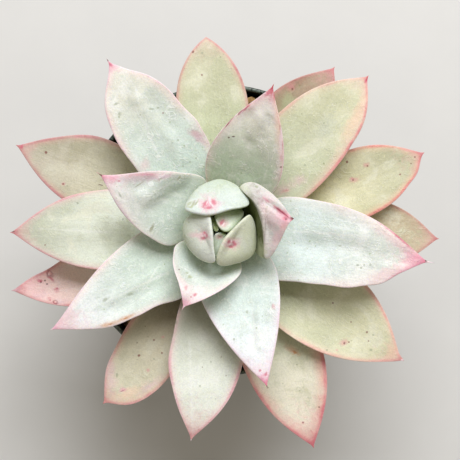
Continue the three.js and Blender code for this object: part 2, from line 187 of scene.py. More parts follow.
# Folds, creases and dents: height in millimetres, negative for a groove, reach in millimetres, and the points
# that the line passes in the camera's picture.
CREASES = {
    1: [(-0.4, 4, [(396, 216), (424, 232)])],
    2: [(-0.4, 4, [(80, 278), (40, 286)]), (0.5, 0.9, [(49.4, 273.8)]), (0.35, 0.7, [(55.3, 302.2)])],
    3: [(-0.4, 4, [(296, 96), (318, 78)])],
    4: [(-0.5, 5, [(296, 376), (304, 410)])],
    5: [(-0.4, 5, [(110, 168), (60, 156)])],
    6: [(-0.5, 5, [(345, 190), (390, 166)])],
    7: [(-0.5, 5, [(142, 338), (126, 374)])],
    8: [(-0.4, 5, [(210, 110), (208, 66)])],
    9: [(-2.2, 12, [(285, 290), (305, 308), (325, 322)]), (2.4, 12, [(335, 270), (365, 280), (390, 292)])],
    10: [(0.4, 4, [(120, 228), (84, 230), (48, 232)])],
    11: [(-0.5, 6, [(312, 150), (336, 112)])],
    12: [(0.4, 4, [(196, 350), (192, 384), (191, 420)])],
    13: [(0.4, 2.6, [(182, 158), (160, 124), (138, 100)]), (-0.5, 5, [(170, 118), (160, 102)]),
         (-0.4, 4, [(140, 136), (132, 112)])],
    14: [(-0.5, 4, [(300, 246), (330, 246), (360, 250)]), (0.4, 3, [(300, 232), (330, 230), (362, 238)]),
         (-0.4, 3, [(386, 256), (404, 257)])],
    15: [(0.35, 2.4, [(170, 272), (140, 284), (112, 300)]), (-0.4, 3, [(165, 280), (140, 292), (112, 308)])],
    16: [(-0.6, 4, [(246, 122), (252, 150), (248, 172)]), (0.4, 2.4, [(258, 118), (250, 134)]),
         (-0.4, 2, [(268, 120), (262, 138)])],
    17: [(-0.5, 2.2, [(252, 308), (254, 326), (255, 345)]),
         (0.45, 1.6, [(256, 312), (258, 328), (259, 346)])],
    18: [(0.9, 3.5, [(180, 176), (165, 186), (149, 197)]), (-0.8, 5, [(176, 190), (160, 203)]),
         (-0.5, 3, [(134, 184), (150, 184)])],
    19: [(-0.5, 1.3, [(269, 203), (279, 210.5), (290, 217.5)]),
         (0.4, 1.5, [(262, 194), (272, 199.5), (284, 209)]), (-0.4, 2.6, [(272, 232), (276, 240)])],
    20: [(-1.2, 6, [(205, 272), (190, 268)]), (0.6, 3, [(176, 272), (184, 292)])],
    21: [(0.3, 1.2, [(206.5, 205), (209.4, 200), (213, 205)]), (-0.25, 0.7, [(209.6, 206.5)]),
         (-0.3, 1.2, [(192, 204)])],
    22: [(0.3, 1.1, [(231.6, 243)])],
    23: [(0.3, 1.1, [(204, 235.5)])],
    24: [(0.3, 0.9, [(223.4, 224.4)])],
}

# Kinds of mark: screen colour, how strongly it covers and how soft its outline is.
# Glints are painted highlights along folds and ridges; the small white marks are partly pale tips and partly
# painted highlights on beads and slits.
MARK_KINDS = dict(
    speck=((132, 74, 66), 0.85, 0.5), dot=((150, 158, 128), 0.6, 0.7), blotch=((222, 142, 148), 0.55, 0.9),
    magenta=((208, 88, 114), 0.72, 0.75), halo=((238, 166, 184), 0.65, 0.95),
    scar=((196, 132, 78), 0.85, 0.5), dark=((96, 58, 46), 0.85, 0.4), rub=((176, 182, 140), 0.7, 0.6),
    crease=((150, 34, 66), 0.85, 0.6), faint=((236, 204, 206), 0.6, 0.95), tan=((214, 158, 112), 0.6, 0.95),
    # The dark olive kind is painted shade on the top of leaf 19's inner wall, and the pale green kind
    # lightens that wall's foot.
    deep=((72, 78, 18), 0.75, 0.95), smear=((208, 212, 198), 0.45, 0.95), red=((204, 26, 62), 0.92, 0.7),
    olive=((150, 144, 108), 0.62, 0.7), mauve=((214, 188, 198), 0.6, 0.95),
    glint=((250, 250, 244), 0.4, 0.9), leaf=((214, 222, 196), 0.6, 0.95), glow=((248, 210, 184), 0.6, 0.95),
    pale=((214, 220, 186), 0.85, 0.9), thread=((252, 228, 232), 0.8, 0.5), bead=((246, 194, 188), 0.9, 0.3),
)

# Each leaf's marks where the camera's picture shows them: kind, place and width, then length where it isn't
# the width, and turn in degrees where it is turned.
# Among the marks, the glints and the small white marks on beads and slits are painted highlights.
MARKS = {
    2: [("dark", 41, 282, 2.2), ("dark", 45, 280.5, 1.8, 1.6), ("blotch", 55, 289, 5, 2.4, 15),
        ("blotch", 49, 298, 4, 2.4), ("dark", 47, 284, 1.4, 1.2), ("magenta", 50, 300, 1.8, 1.4),
        ("magenta", 40, 281, 5, 3), ("magenta", 51, 278.5, 7, 2.4, -30), ("blotch", 57, 290, 6, 5),
        ("magenta", 57, 288.5, 2.4, 2), ("faint", 40, 295, 14, 5, 18), ("faint", 62, 302, 9, 4, 5),
        # The beads' white centres are painted highlights.
        ("mauve", 14, 290, 8, 6), ("crease", 49.4, 273.8, 6.4, 7, 20), ("bead", 49.6, 273.6, 4.4, 5, 20),
        ("thread", 48.8, 274.4, 2, 2.8), ("crease", 55.2, 302.2, 4.8, 4), ("bead", 55.4, 302, 2.8, 2),
        ("thread", 55.8, 301.6, 1.2, 1)],
    3: [("blotch", 291.5, 87.5, 7, 7, -30), ("speck", 292.4, 89, 1.8, 2.4), ("rub", 288, 103, 14, 20, -30),
        ("dot", 319, 76, 1.8)],
    4: [("speck", 319, 407, 1.6), ("blotch", 303, 422.5, 2.6, 2.2), ("speck", 303, 422.5, 1.4),
        ("scar", 294.5, 352, 5, 2.6, -30), ("blotch", 312, 432, 5, 1.4, -55), ("tan", 292, 350, 12, 6, -30)],
    5: [("speck", 46, 152.5, 2.4, 3, 20), ("blotch", 63, 184, 3.4, 2.4), ("speck", 63, 184, 1.6),
        ("dot", 67.5, 186, 1.4), ("magenta", 22, 147, 2.4, 3), ("dark", 101, 185, 4, 1, -10)],
    6: [("speck", 347, 162, 1.9), ("dot", 400, 161, 1.6), ("speck", 400, 174.5, 2),
        ("speck", 411, 163.5, 1.5), ("speck", 415, 157, 1.5), ("blotch", 366, 165, 5, 4),
        ("speck", 367.5, 166, 1.8), ("blotch", 354, 180, 9, 4.6, 10), ("speck", 353, 180, 2.4, 1.6),
        ("blotch", 352, 178.6, 3), ("dot", 375, 166, 1.6)],
    7: [("glow", 128, 394, 30, 9, 22), ("faint", 150, 386, 22, 6, 34), ("faint", 110, 372, 8, 34),
        ("speck", 154, 340, 1.9), ("speck", 139, 355.5, 3, 2.4, 20), ("speck", 162, 353, 1.8, 2),
        ("dot", 154, 359, 1.6), ("blotch", 148, 370, 3, 2.6), ("dot", 117, 375, 2, 4),
        ("dark", 122, 391, 4.6, 1, 25), ("halo", 122, 390, 6, 3.4, 25), ("blotch", 163, 337, 2.4, 2)],
    8: [("speck", 193, 52, 2.2, 2.6, -20), ("speck", 202, 75, 2), ("dot", 202, 53, 2.2, 1.6)],
    9: [("speck", 333, 303, 1.6), ("speck", 351, 322, 1.6), ("speck", 367, 332, 2.2, 2),
        ("speck", 368.5, 341, 1.7, 1.5), ("blotch", 344, 342.5, 6, 5.4), ("speck", 344.5, 343.5, 1.6, 2),
        ("speck", 349, 342, 1.8, 1.6), ("blotch", 337, 350, 2.6, 2), ("dot", 327, 350, 1.8, 1.6),
        ("dot", 373, 335, 1.5), ("dot", 371, 350, 2.6, 2), ("glow", 392, 352, 14, 12, -30),
        ("thread", 402, 360.5, 3)],
    10: [("glint", 84, 231, 72, 2.6, -3), ("speck", 45, 245, 1.6), ("dot", 78, 203, 2),
         ("dot", 123, 219, 2, 1.6), ("dark", 12.4, 231, 3, 2)],
    11: [("magenta", 366, 81, 3, 5, -20), ("faint", 284, 189, 17, 9, 15), ("blotch", 286, 190.5, 7, 3.4, 10),
         ("dot", 305, 165, 1.6), ("faint", 300, 180, 12, 7), ("glow", 355, 118, 9, 50, -28),
         ("smear", 326, 128, 14, 22, -40), ("red", 368.4, 78.6, 2.4, 4, -20)],
    12: [("glint", 191, 385, 70, 3, -88), ("dot", 211, 362, 1.6), ("dot", 172, 320, 2, 4),
         ("dot", 200, 386, 2), ("thread", 191, 440.5, 2)],
    13: [("blotch", 195.5, 134, 9, 7, -30), ("faint", 203, 141, 13, 7, -40), ("faint", 144, 165, 10, 8, 60),
         ("mauve", 197, 136, 14, 8, -40), ("halo", 111, 66, 12, 8, -25),
         ("magenta", 110.5, 64.5, 5, 2.4, -50), ("smear", 171, 147, 8, 10, 20), ("dot", 119.5, 114, 3, 4),
         ("dot", 116, 104, 5, 2, 20), ("smear", 131, 90, 10, 14, 20), ("smear", 152, 98, 16, 10, -30),
         ("smear", 128, 116, 12, 14), ("dot", 152, 109, 5, 2), ("dot", 158, 108, 3, 2),
         ("speck", 163, 113, 1.6), ("dot", 178, 140, 2, 1.6), ("dot", 172, 143, 1.4),
         ("dot", 190, 162, 2, 1.4, 20), ("dot", 196, 158, 2.4, 1.6, 30), ("dot", 183, 166, 1.8, 1.4),
         ("dot", 119, 117, 2, 3), ("dot", 140, 115, 1.5), ("glint", 142, 120, 18, 1.6, -62),
         ("glint", 146, 124, 12, 1.2, -55), ("glint", 137, 94, 22, 2, -75),
         ("glint", 154, 146, 26, 2.4, -65), ("glint", 116, 96, 16, 2, 70), ("dark", 108.2, 60, 2, 3)],
    14: [("glint", 330, 234, 66, 2, -4), ("glint", 344, 258, 30, 1.8, 14), ("glint", 372, 248, 26, 1.6, -20),
         ("dot", 357.5, 265, 2.4, 2), ("dot", 361, 268, 2, 1.8), ("dot", 364, 265, 2, 1.8),
         ("dot", 370, 265, 2, 2.4), ("faint", 388, 274, 34, 10, 22), ("faint", 398, 243, 36, 7, -32),
         ("halo", 406, 270, 26, 5, 28), ("halo", 414, 259, 18, 12), ("blotch", 398, 236, 4, 2, -30),
         ("halo", 420, 257.5, 10, 5, -20), ("thread", 431, 261.3, 9, 4), ("dark", 426, 260.4, 2.4),
         ("magenta", 404, 241, 40, 3, -38), ("dot", 340, 246, 3, 1.4), ("thread", 430.5, 262, 6, 3)],
    15: [("glint", 141, 285, 66, 2, 26), ("glint", 152, 276, 20, 1.4, 60), ("tan", 104, 325.5, 10, 3.6, 5),
         ("tan", 113, 323, 12, 4, 14), ("tan", 122, 319.5, 11, 3.4, 22), ("tan", 131, 316, 8, 2.4, 22),
         ("scar", 111, 324, 4, 1.2, 10), ("scar", 125, 318.6, 4, 1, 20), ("dot", 130, 294, 8, 3, 20),
         ("dot", 105, 300, 6, 3, 30), ("faint", 68, 318, 20, 12, 30), ("thread", 50, 330, 5, 3, 30)],
    16: [("magenta", 269, 92, 6, 2.6, 38), ("magenta", 275, 92, 1.8, 5), ("crease", 240.5, 112.8, 7, 2, 42),
         ("crease", 280.3, 129, 2, 11, 6), ("blotch", 282.5, 145, 1.8, 8), ("dark", 233, 136.5, 3, 1.2),
         ("speck", 281, 167, 2, 1.6), ("blotch", 281, 157, 1.8, 6), ("glow", 278, 118, 6, 46, 6),
         ("thread", 281, 140, 3, 30), ("faint", 257, 101, 26, 5, 43), ("magenta", 246, 108, 15, 1.6, 43),
         ("red", 273.8, 88, 5, 11, -8), ("magenta", 268.5, 93.4, 9, 3, 40), ("red", 276, 95, 1.6, 8, 4),
         ("thread", 272.4, 97, 1.4, 12, -10), ("dark", 229, 137.5, 1.8, 1.5),
         ("crease", 229, 122.5, 18, 0.9, 50), ("glint", 262, 128, 16, 1.6, -60),
         ("glint", 257, 126, 14, 1.4, 60), ("glint", 268, 119, 18, 1.6, -66), ("glint", 250, 120, 16, 2, 45),
         ("thread", 241.4, 112.6, 6, 1.2, 42), ("blotch", 272.5, 96, 8, 12), ("glint", 266, 112, 18, 22),
         ("thread", 274.9, 83.8, 2, 3)],
    17: [("glint", 254.6, 328, 40, 1.8, -84), ("glint", 246, 320, 14, 1.6, -60),
         ("magenta", 260, 370.5, 2.4, 2), ("magenta", 266, 374, 2.4, 5, -20), ("blotch", 273, 306, 3, 5),
         ("dot", 247, 312, 2.4, 3.4), ("dot", 256.5, 328, 1.4), ("dot", 234, 339, 1.6, 2.2),
         ("dark", 267.6, 387, 1.6, 3)],
    18: [("glint", 163, 187, 38, 3, 31), ("olive", 161, 178.5, 7, 2, 32), ("olive", 179, 178, 5, 2, 50),
         ("olive", 152, 228, 2.4, 8, -25), ("olive", 139, 184.5, 12, 1.2, 35),
         ("mauve", 118, 206, 46, 5, -56), ("mauve", 132, 178, 50, 9, 3), ("mauve", 155, 177, 20, 4, 10),
         ("faint", 136, 174, 50, 6, 2), ("halo", 146, 174.5, 24, 2, 3), ("mauve", 166, 176.5, 10, 3, 25),
         ("halo", 112, 178, 14, 8, -20), ("dot", 120, 195, 2, 5, 30), ("magenta", 119, 181, 3, 1.8),
         ("dark", 100.5, 174, 4, 3)],
    19: [("halo", 284, 218, 15, 13, -40), ("faint", 272, 216, 12, 30, 25), ("faint", 278, 238, 9, 26, -28),
         ("magenta", 282, 212, 22, 3, -38), ("faint", 268, 200, 16, 5, -36), ("faint", 262, 206, 5, 16, 12),
         ("magenta", 285.6, 218.6, 5), ("thread", 272, 199.6, 10, 1, -36), ("halo", 266, 199.5, 9, 2, -38),
         ("dark", 292.6, 218.2, 6, 2.4, -20), ("dark", 286, 219.2, 1.5, 1.6),
         ("rub", 256.5, 187, 3, 1.6, -20), ("crease", 283.4, 213.2, 17, 1.2, -38),
         # Painted shade: the dark olive marks darken the top of the inner wall, and the pale green one
         # lightens its foot.
         ("blotch", 284, 227, 5, 9, -25), ("faint", 280, 236, 7, 22, -28), ("deep", 253, 210, 14, 42, 16),
         ("deep", 261, 236, 7, 20, 4), ("pale", 259, 253, 14, 22, 5), ("leaf", 245, 188, 14, 9, -30)],
    20: [("glint", 180, 284, 26, 2, -62), ("speck", 179, 269.5, 1.8, 1.6),
         ("magenta", 195, 295, 3.4, 2.6, 20), ("rub", 190, 277, 4.4, 3), ("rub", 187, 273, 2.6, 2),
         ("magenta", 191, 297, 1.6, 1.4), ("blotch", 186, 288, 2, 4), ("thread", 184.5, 307, 2, 3)],
    21: [("halo", 209.3, 204.5, 17, 14), ("magenta", 205.6, 203.4, 4.2, 7.6, -30),
         ("magenta", 213.8, 202, 3.6, 6.5, 25), ("magenta", 208.5, 208, 8, 3.4),
         ("thread", 211.5, 204.5, 1.5, 9, 40), ("thread", 207.2, 202.5, 1.2, 5, -25),
         ("thread", 209.6, 199.5, 3, 5), ("rub", 189, 204, 2.6, 5.5, -45), ("rub", 193, 204.5, 2, 6, -25),
         ("rub", 196.4, 203, 1.4, 6.5, -30), ("rub", 190.5, 207, 5, 2)],
    22: [("halo", 231.6, 243.6, 12.5, 10), ("magenta", 228.8, 241.6, 3), ("magenta", 233.4, 242.4, 2.6, 3.4),
         ("magenta", 230.6, 247, 5.4, 2.6), ("magenta", 235.4, 244.4, 2, 3),
         ("thread", 230.6, 244, 4.4, 1.3, 25), ("thread", 231.2, 240.6, 1.2, 3)],
    23: [("halo", 203.6, 235, 11, 9), ("magenta", 204.5, 232.6, 3, 2.6), ("magenta", 203.4, 238.2, 4, 2.8),
         ("magenta", 206.6, 235.6, 1.8, 3.6), ("thread", 202.8, 235.9, 5.5, 1.2, 4),
         ("faint", 195, 235.5, 14, 4)],
    24: [("halo", 223, 223.6, 9, 8.4), ("magenta", 221.6, 222.6, 2.4, 6.6, -35),
         ("thread", 223.4, 224.4, 1.3, 4.6, -40)],
    25: [("halo", 219.6, 237, 6, 4.4)],
}

# Finishes: screen colours, lengths in millimetres, and shares. First what the outer, the inner and the heart
# leaves have in common, then what is each leaf's own.
# Towards its seat each leaf turns to a greener seat colour; how dark or light it is and how far it reaches is
# set per leaf, and on the outer leaves it is partly painted shade from the leaves above.
OUTER = dict(flesh_and_painted_shading=(128, 138, 82), green_reach=0.34, inner_green=0, base=(218, 220, 190),
             far=(228, 226, 200), bare=(200, 202, 166), cream=(238, 236, 214), green=0.65,
             clockwise_edge=0.8, other_edge=0.8, edge=(228, 160, 154), band=(238, 204, 182), edge_width=1,
             # rim and rim_light: a painted highlight along the margin's very edge.
             edge_fade=3.2, flakes=0.15, swell=0.3, netting=0.35, streaks=0.18, rim=(238, 196, 192),
             rim_light=0.45, tip=(226, 164, 164), tip_length=8, tip_share=0.5, point=(198, 92, 106),
             point_share=0.5, under=(196, 184, 160), under_share=0.5)
INNER = dict(flesh_and_painted_shading=(150, 172, 104), green_reach=0.3, inner_green=0, base=(226, 238, 230),
             far=(246, 248, 247), bare=(204, 216, 204), cream=(250, 251, 246), green=0.6,
             clockwise_edge=0.6, other_edge=0.6, edge=(242, 196, 206), band=(253, 234, 228),
             edge_width=0.6, edge_fade=3.4, flakes=0.35, swell=0.35, netting=0.6, streaks=0.25,
             rim=(253, 240, 240), rim_light=0.8, tip=(246, 206, 216), tip_length=11, tip_share=0.6,
             point=(226, 92, 134), point_share=0.75, under=(216, 222, 204), under_share=0.5)
# The heart's undersides and seats are a dark saturated green: partly their own colour, partly painted shade
# in the crevices between them.
HEART = {**INNER, **dict(flesh_and_painted_shading=(140, 158, 84), base=(206, 218, 198), far=(222, 230, 218),
                         bare=(206, 216, 198), green=0.8, green_reach=1.25, clockwise_edge=0, other_edge=0,
                         rim_light=0.8, rim=(240, 246, 226), tip_share=0, point_share=0,
                         under=(136, 166, 40), under_share=0.9, flakes=0.2, swell=0.12, netting=0.2)}
LOOKS = {
    1: dict(base=(204, 196, 160), far=(202, 186, 156), edge=(200, 146, 136), tip_share=0.4,
            band=(210, 180, 156), rim=(226, 196, 180)),
    # Leaf 2's pale colours are partly its own and partly painted light against the shade of the leaves above.
    2: dict(base=(255, 236, 220), far=(252, 216, 210), bare=(255, 224, 218), cream=(255, 246, 240),
            edge=(232, 156, 160), band=(244, 194, 190), tip=(242, 188, 190), tip_length=14),
    # Leaf 3 is darker all over: partly its own browner colour, partly painted shade from the leaf above it.
    3: dict(base=(158, 150, 118), far=(174, 144, 122), bare=(146, 132, 104), cream=(184, 170, 142),
            edge=(184, 122, 116), band=(186, 144, 128), rim=(214, 174, 166)),
    4: dict(base=(234, 236, 210), far=(250, 240, 220), edge=(226, 138, 144), edge_width=1.4,
            band=(242, 184, 172), edge_fade=5.5, tip=(226, 130, 140), tip_length=14, clockwise_edge=1,
            other_edge=1),
    # Painted light: leaf 5's light seat colour lifts the shade on its inner part under the leaf above.
    5: dict(base=(216, 212, 184), far=(200, 192, 172), bare=(182, 176, 146), cream=(214, 210, 188),
            edge=(200, 136, 138), band=(212, 176, 160), rim=(222, 180, 178), flesh_and_painted_shading=(214, 208, 172),
            edge_width=1.2),
    # Painted light: leaf 6's base and seat colour are lighter than its far part, to lift the shade under the
    # leaves above.
    6: dict(base=(242, 236, 196), far=(200, 198, 166), bare=(200, 198, 156), edge=(230, 146, 136),
            band=(236, 202, 172), clockwise_edge=1, edge_width=1.1, flesh_and_painted_shading=(252, 242, 198)),
    # Painted shade: leaf 7's dark brown seat colour reaches far out, as shade under the leaf above.
    7: dict(base=(220, 212, 184), far=(228, 222, 196), bare=(206, 202, 174), green=0.9, green_reach=0.92,
            flesh_and_painted_shading=(106, 84, 54), edge=(220, 152, 154), edge_width=1.2),
    8: dict(base=(206, 212, 178), far=(210, 207, 176), edge=(210, 140, 140), clockwise_edge=1,
            other_edge=0.7, band=(222, 198, 174), tip_share=0.2, point_share=0, rim=(232, 200, 190)),
    # Painted shade: leaf 9's olive seat colour darkens its inner part under the leaf above.
    9: dict(base=(210, 210, 176), far=(226, 222, 188), edge=(243, 182, 172), edge_width=1.2,
            band=(246, 222, 198), rim=(250, 216, 204), rim_light=0.6, flesh_and_painted_shading=(170, 166, 110)),
    # Painted light: leaf 10's base and seat colour are lighter than its far part, to lift the shade beside
    # the leaf above.
    10: dict(swell=0.12, base=(248, 253, 238), far=(202, 205, 184), edge=(228, 160, 170), rim_light=0.8,
             band=(232, 208, 200), flesh_and_painted_shading=(228, 238, 212), edge_width=0.8, bare=(210, 214, 188)),
    11: dict(base=(210, 214, 186), far=(222, 219, 184), edge=(230, 146, 146), band=(242, 206, 188),
             clockwise_edge=1, other_edge=0.4, edge_width=1.1, edge_fade=4, tip_share=0.3,
             rim=(246, 214, 200), rim_light=0.6, netting=0.5),
    # Painted shade: leaf 12's dark brown seat colour reaches far out, as shade under the leaves above.
    12: dict(base=(228, 234, 218), far=(242, 243, 230), bare=(224, 228, 212), cream=(248, 249, 240),
             edge=(232, 172, 180), band=(248, 224, 218), tip_length=12, green=0.9, green_reach=0.76,
             flesh_and_painted_shading=(128, 106, 66), rim=(252, 232, 230)),
    13: dict(clockwise_edge=0.9, other_edge=0.9, edge=(238, 178, 194), tip_length=4, tip_share=0.4,
             base=(220, 234, 224), far=(234, 230, 214), band=(250, 226, 220), point_share=0.4),
    14: dict(base=(228, 240, 236), far=(250, 244, 236), clockwise_edge=0.9, other_edge=0.9,
             tip=(246, 184, 194), tip_length=12, edge_fade=4.5, edge=(240, 184, 194)),
    15: dict(base=(210, 224, 209), far=(248, 249, 249), clockwise_edge=0.9, other_edge=0.8, tip_length=12,
             point=(234, 150, 178), point_share=0.6),
    16: dict(base=(200, 213, 187), far=(254, 246, 234), bare=(216, 216, 202), cream=(255, 250, 244),
             tip=(240, 190, 194), tip_length=9, point=(206, 34, 62), point_share=0.95,
             edge=(232, 150, 162), flakes=0.2, netting=0.8, swell=0.3, clockwise_edge=0.9, other_edge=0.9,
             band=(250, 220, 220)),
    17: dict(base=(216, 230, 222), edge=(240, 198, 218), far=(249, 251, 252), band=(250, 236, 244),
             clockwise_edge=0.8, other_edge=0.8),
    18: dict(base=(210, 221, 208), far=(240, 232, 228), tip_length=7, edge=(226, 180, 184)),
    # Leaf 19's dark olive under colour is partly its greener inner face and partly painted shade on that
    # steep wall.
    19: dict(green=0.9, green_reach=0.7, base=(212, 206, 200), far=(222, 212, 210), tip_length=5,
             tip_share=0.4, edge=(234, 190, 192), clockwise_edge=0.3, other_edge=0.15,
             under=(100, 116, 50), under_share=0.9, rim=(240, 240, 228), flakes=0.25, swell=0.2),
    # Leaf 20's light yellow-green seat colour is partly its own and partly painted light in its shaded
    # hollow.
    20: dict(green=0.8, green_reach=0.42, far=(242, 240, 232), tip_length=9, point=(232, 130, 160),
             point_share=0.5, swell=0.25, flesh_and_painted_shading=(178, 196, 128)),
    21: dict(base=(216, 226, 224), far=(226, 234, 234), flesh_and_painted_shading=(172, 190, 120)),
    # Leaves 22 and 23 are partly their own light colour and partly painted light against the shade of leaf 21
    # above them.
    22: dict(base=(232, 235, 208), far=(240, 242, 220), bare=(226, 228, 204)),
    23: dict(base=(236, 240, 232), far=(242, 244, 238), bare=(228, 232, 222)),
    24: dict(base=(222, 230, 208), far=(232, 238, 222)),
    26: dict(base=(190, 200, 140), far=(190, 200, 140)),
}


# Modelling by hand: what is picked, moved, sized and turned in edit mode.

def put_down():
    """Leaves edit mode and deselects every piece."""
    if bpy.context.object and bpy.context.object.mode != "OBJECT":
        bpy.ops.object.mode_set(mode="OBJECT")
    bpy.ops.object.select_all(action="DESELECT")


def take_up(piece):
    """Makes one piece the selected and active one."""
    put_down()
    piece.select_set(True)
    bpy.context.view_layer.objects.active = piece


def open_up(piece):
    """Opens a piece in edit mode with nothing selected."""
    take_up(piece)
    bpy.ops.object.mode_set(mode="EDIT")
    bpy.ops.mesh.select_mode(type="VERT")
    bpy.ops.mesh.select_all(action="DESELECT")


def pick(piece, wanted):
    """Selects the points of the open piece that the test accepts."""
    mesh = bmesh.from_edit_mesh(piece.data)
    for point in mesh.verts:
        point.select = bool(wanted(point))
    mesh.select_flush_mode()
    bmesh.update_edit_mesh(piece.data, loop_triangles=False, destructive=False)


def slide(offset):
    """Moves what is picked."""
    bpy.ops.transform.translate(value=offset)


def size(scale, centre=(0, 0, 0)):
    """Sizes what is picked, away from a centre."""
    bpy.ops.transform.resize(value=scale, center_override=centre)


def turn(angle, axis, centre=(0, 0, 0)):
    """Turns what is picked about an axis through a centre."""
    bpy.ops.transform.rotate(value=-angle, orient_axis=axis, center_override=centre)


def nudge(offset, reach):
    """Moves what is picked, and drags its surroundings along, fading out over reach."""
    bpy.ops.transform.translate(value=offset, use_proportional_edit=True,
                                proportional_edit_falloff="SMOOTH", proportional_size=reach,
                                use_proportional_connected=True)


def apply_modifier(piece, kind, **settings):
    """Adds a modifier to a piece and applies it."""
    take_up(piece)
    added = piece.modifiers.new(kind.lower(), kind)
    for setting, value in settings.items():
        setattr(added, setting, value)
    bpy.ops.object.modifier_apply(modifier=added.name)


def smooth(piece, angle=180):
    """Shades a piece smooth, but for edges sharper than the angle."""
    take_up(piece)
    bpy.ops.object.shade_smooth_by_angle(angle=math.radians(angle))
    put_down()


def copy_of(piece, name):
    """A copy of a piece with its own mesh."""
    copy = piece.copy()
    copy.data = piece.data.copy()
    copy.name = copy.data.name = name
    bpy.context.scene.collection.objects.link(copy)
    return copy


def seat_on_root(piece, node):
    """The piece stands for the CAD node, which it hides, and rides on the potted plant's one body."""
    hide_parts(node)
    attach(piece, "root")


# Materials

def finish_named(name):
    """An empty finish: its nodes and its shader."""
    material = bpy.data.materials.new(name)
    material.use_nodes = True
    tree = material.node_tree
    return material, tree, tree.nodes["Principled BSDF"]


def colour(red, green, blue):
    """A linear colour from the 0 to 255 values of a screen."""
    values = [value / 255 for value in (red, green, blue)]
    return [v / 12.92 if v <= 0.04045 else ((v + 0.055) / 1.055) ** 2.4 for v in values] + [1]


def feed(tree, socket, value):
    """Sets a socket, or links it to another one."""
    if isinstance(value, bpy.types.NodeSocket):
        tree.links.new(value, socket)
    else:
        socket.default_value = value


def place(tree, offset=(0, 0, 0), scale=(1, 1, 1)):
    """Positions on the piece, moved and stretched for a pattern."""
    where = tree.nodes.new("ShaderNodeTexCoord")
    mapping = tree.nodes.new("ShaderNodeMapping")
    mapping.inputs["Location"].default_value = offset
    mapping.inputs["Scale"].default_value = scale
    tree.links.new(where.outputs["Object"], mapping.inputs["Vector"])
    return mapping.outputs["Vector"]


def noise(tree, where, grain, detail, roughness=0.55, distortion=0):
    """A cloudy pattern with patches about one grain across."""
    node = tree.nodes.new("ShaderNodeTexNoise")
    feed(tree, node.inputs["Vector"], where)
    node.inputs["Scale"].default_value = 1 / grain
    node.inputs["Detail"].default_value = detail
    node.inputs["Roughness"].default_value = roughness
    node.inputs["Distortion"].default_value = distortion
    return node.outputs["Fac"]


def cells(tree, where, grain, feature="F1"):
    """Distances within cells about one grain across."""
    node = tree.nodes.new("ShaderNodeTexVoronoi")
    node.feature = feature
    feed(tree, node.inputs["Vector"], where)
    node.inputs["Scale"].default_value = 1 / grain
    return node.outputs["Distance"]


def kept(tree, name):
    """A value that the piece keeps at each of its points."""
    node = tree.nodes.new("ShaderNodeAttribute")
    node.attribute_name = name
    return node.outputs["Fac"]


def between(tree, value, low, high, start=0, end=1):
    """start below low, end above high, and a smooth step between them."""
    node = tree.nodes.new("ShaderNodeMapRange")
    node.interpolation_type = "SMOOTHSTEP"
    feed(tree, node.inputs["Value"], value)
    node.inputs["From Min"].default_value = low
    node.inputs["From Max"].default_value = high
    node.inputs["To Min"].default_value = start
    node.inputs["To Max"].default_value = end
    return node.outputs["Result"]


def sums(tree, operation, first, second=0):
    """One step of arithmetic on the finish's values."""
    node = tree.nodes.new("ShaderNodeMath")
    node.operation = operation
    feed(tree, node.inputs[0], first)
    feed(tree, node.inputs[1], second)
    return node.outputs["Value"]


def paint(tree, share, under, over, blend="MIX"):
    """One colour laid over another."""
    node = tree.nodes.new("ShaderNodeMix")
    node.data_type = "RGBA"
    node.blend_type = blend
    feed(tree, node.inputs["Factor"], share)
    feed(tree, node.inputs["A"], under)
    feed(tree, node.inputs["B"], over)
    return node.outputs["Result"]


def relief(tree, height, depth, strength, under=None):
    """Bumps as high as depth."""
    node = tree.nodes.new("ShaderNodeBump")
    feed(tree, node.inputs["Height"], height)
    node.inputs["Distance"].default_value = depth
    node.inputs["Strength"].default_value = strength
    if under:
        tree.links.new(under, node.inputs["Normal"])
    return node.outputs["Normal"]


# Leaves

def half_width(t, leaf):
    """Half width along the leaf, as a share of the greatest, drawn in just before the tip."""
    if t < leaf["belly"]:
        return SEAT_WIDTH + (1 - SEAT_WIDTH) * math.sin(math.pi / 2 * t / leaf["belly"])
    beyond = (t - leaf["belly"]) / (1 - leaf["belly"])
    drawn_in = 1 - leaf["pinch"] * math.exp(-(1 - t) / leaf["point"])
    return max(0, 1 - beyond ** leaf["taper"]) ** leaf["blunt"] * drawn_in


def plumpness(t):
    """Thickness along the leaf, as a share of the greatest."""
    if t < 0.5:
        return SEAT_PLUMPNESS + (1 - SEAT_PLUMPNESS) * math.sin(math.pi * t)
    return max(0, 1 - (2 * t - 1) ** 3) ** 0.7


def heading(angle, rise):
    """A direction, by its angle round the plant and its rise."""
    return Vector((math.cos(angle) * math.cos(rise), math.sin(angle) * math.cos(rise), math.sin(rise)))


def stem_radius(height):
    """The stem's radius at a height; it narrows evenly."""
    ratio = (height - STEM_FOOT) / (STEM_TOP - STEM_FOOT)
    return STEM_FOOT_RADIUS + (STEM_TOP_RADIUS - STEM_FOOT_RADIUS) * ratio


def seat_point(leaf, seat):
    """Where a leaf leaves the stem."""
    foot = stem_radius(seat) + SEAT_CLEARANCE
    return PLANT + heading(math.radians(leaf["azimuth"] + leaf["lean"]), 0) * foot + Vector((0, 0, seat))


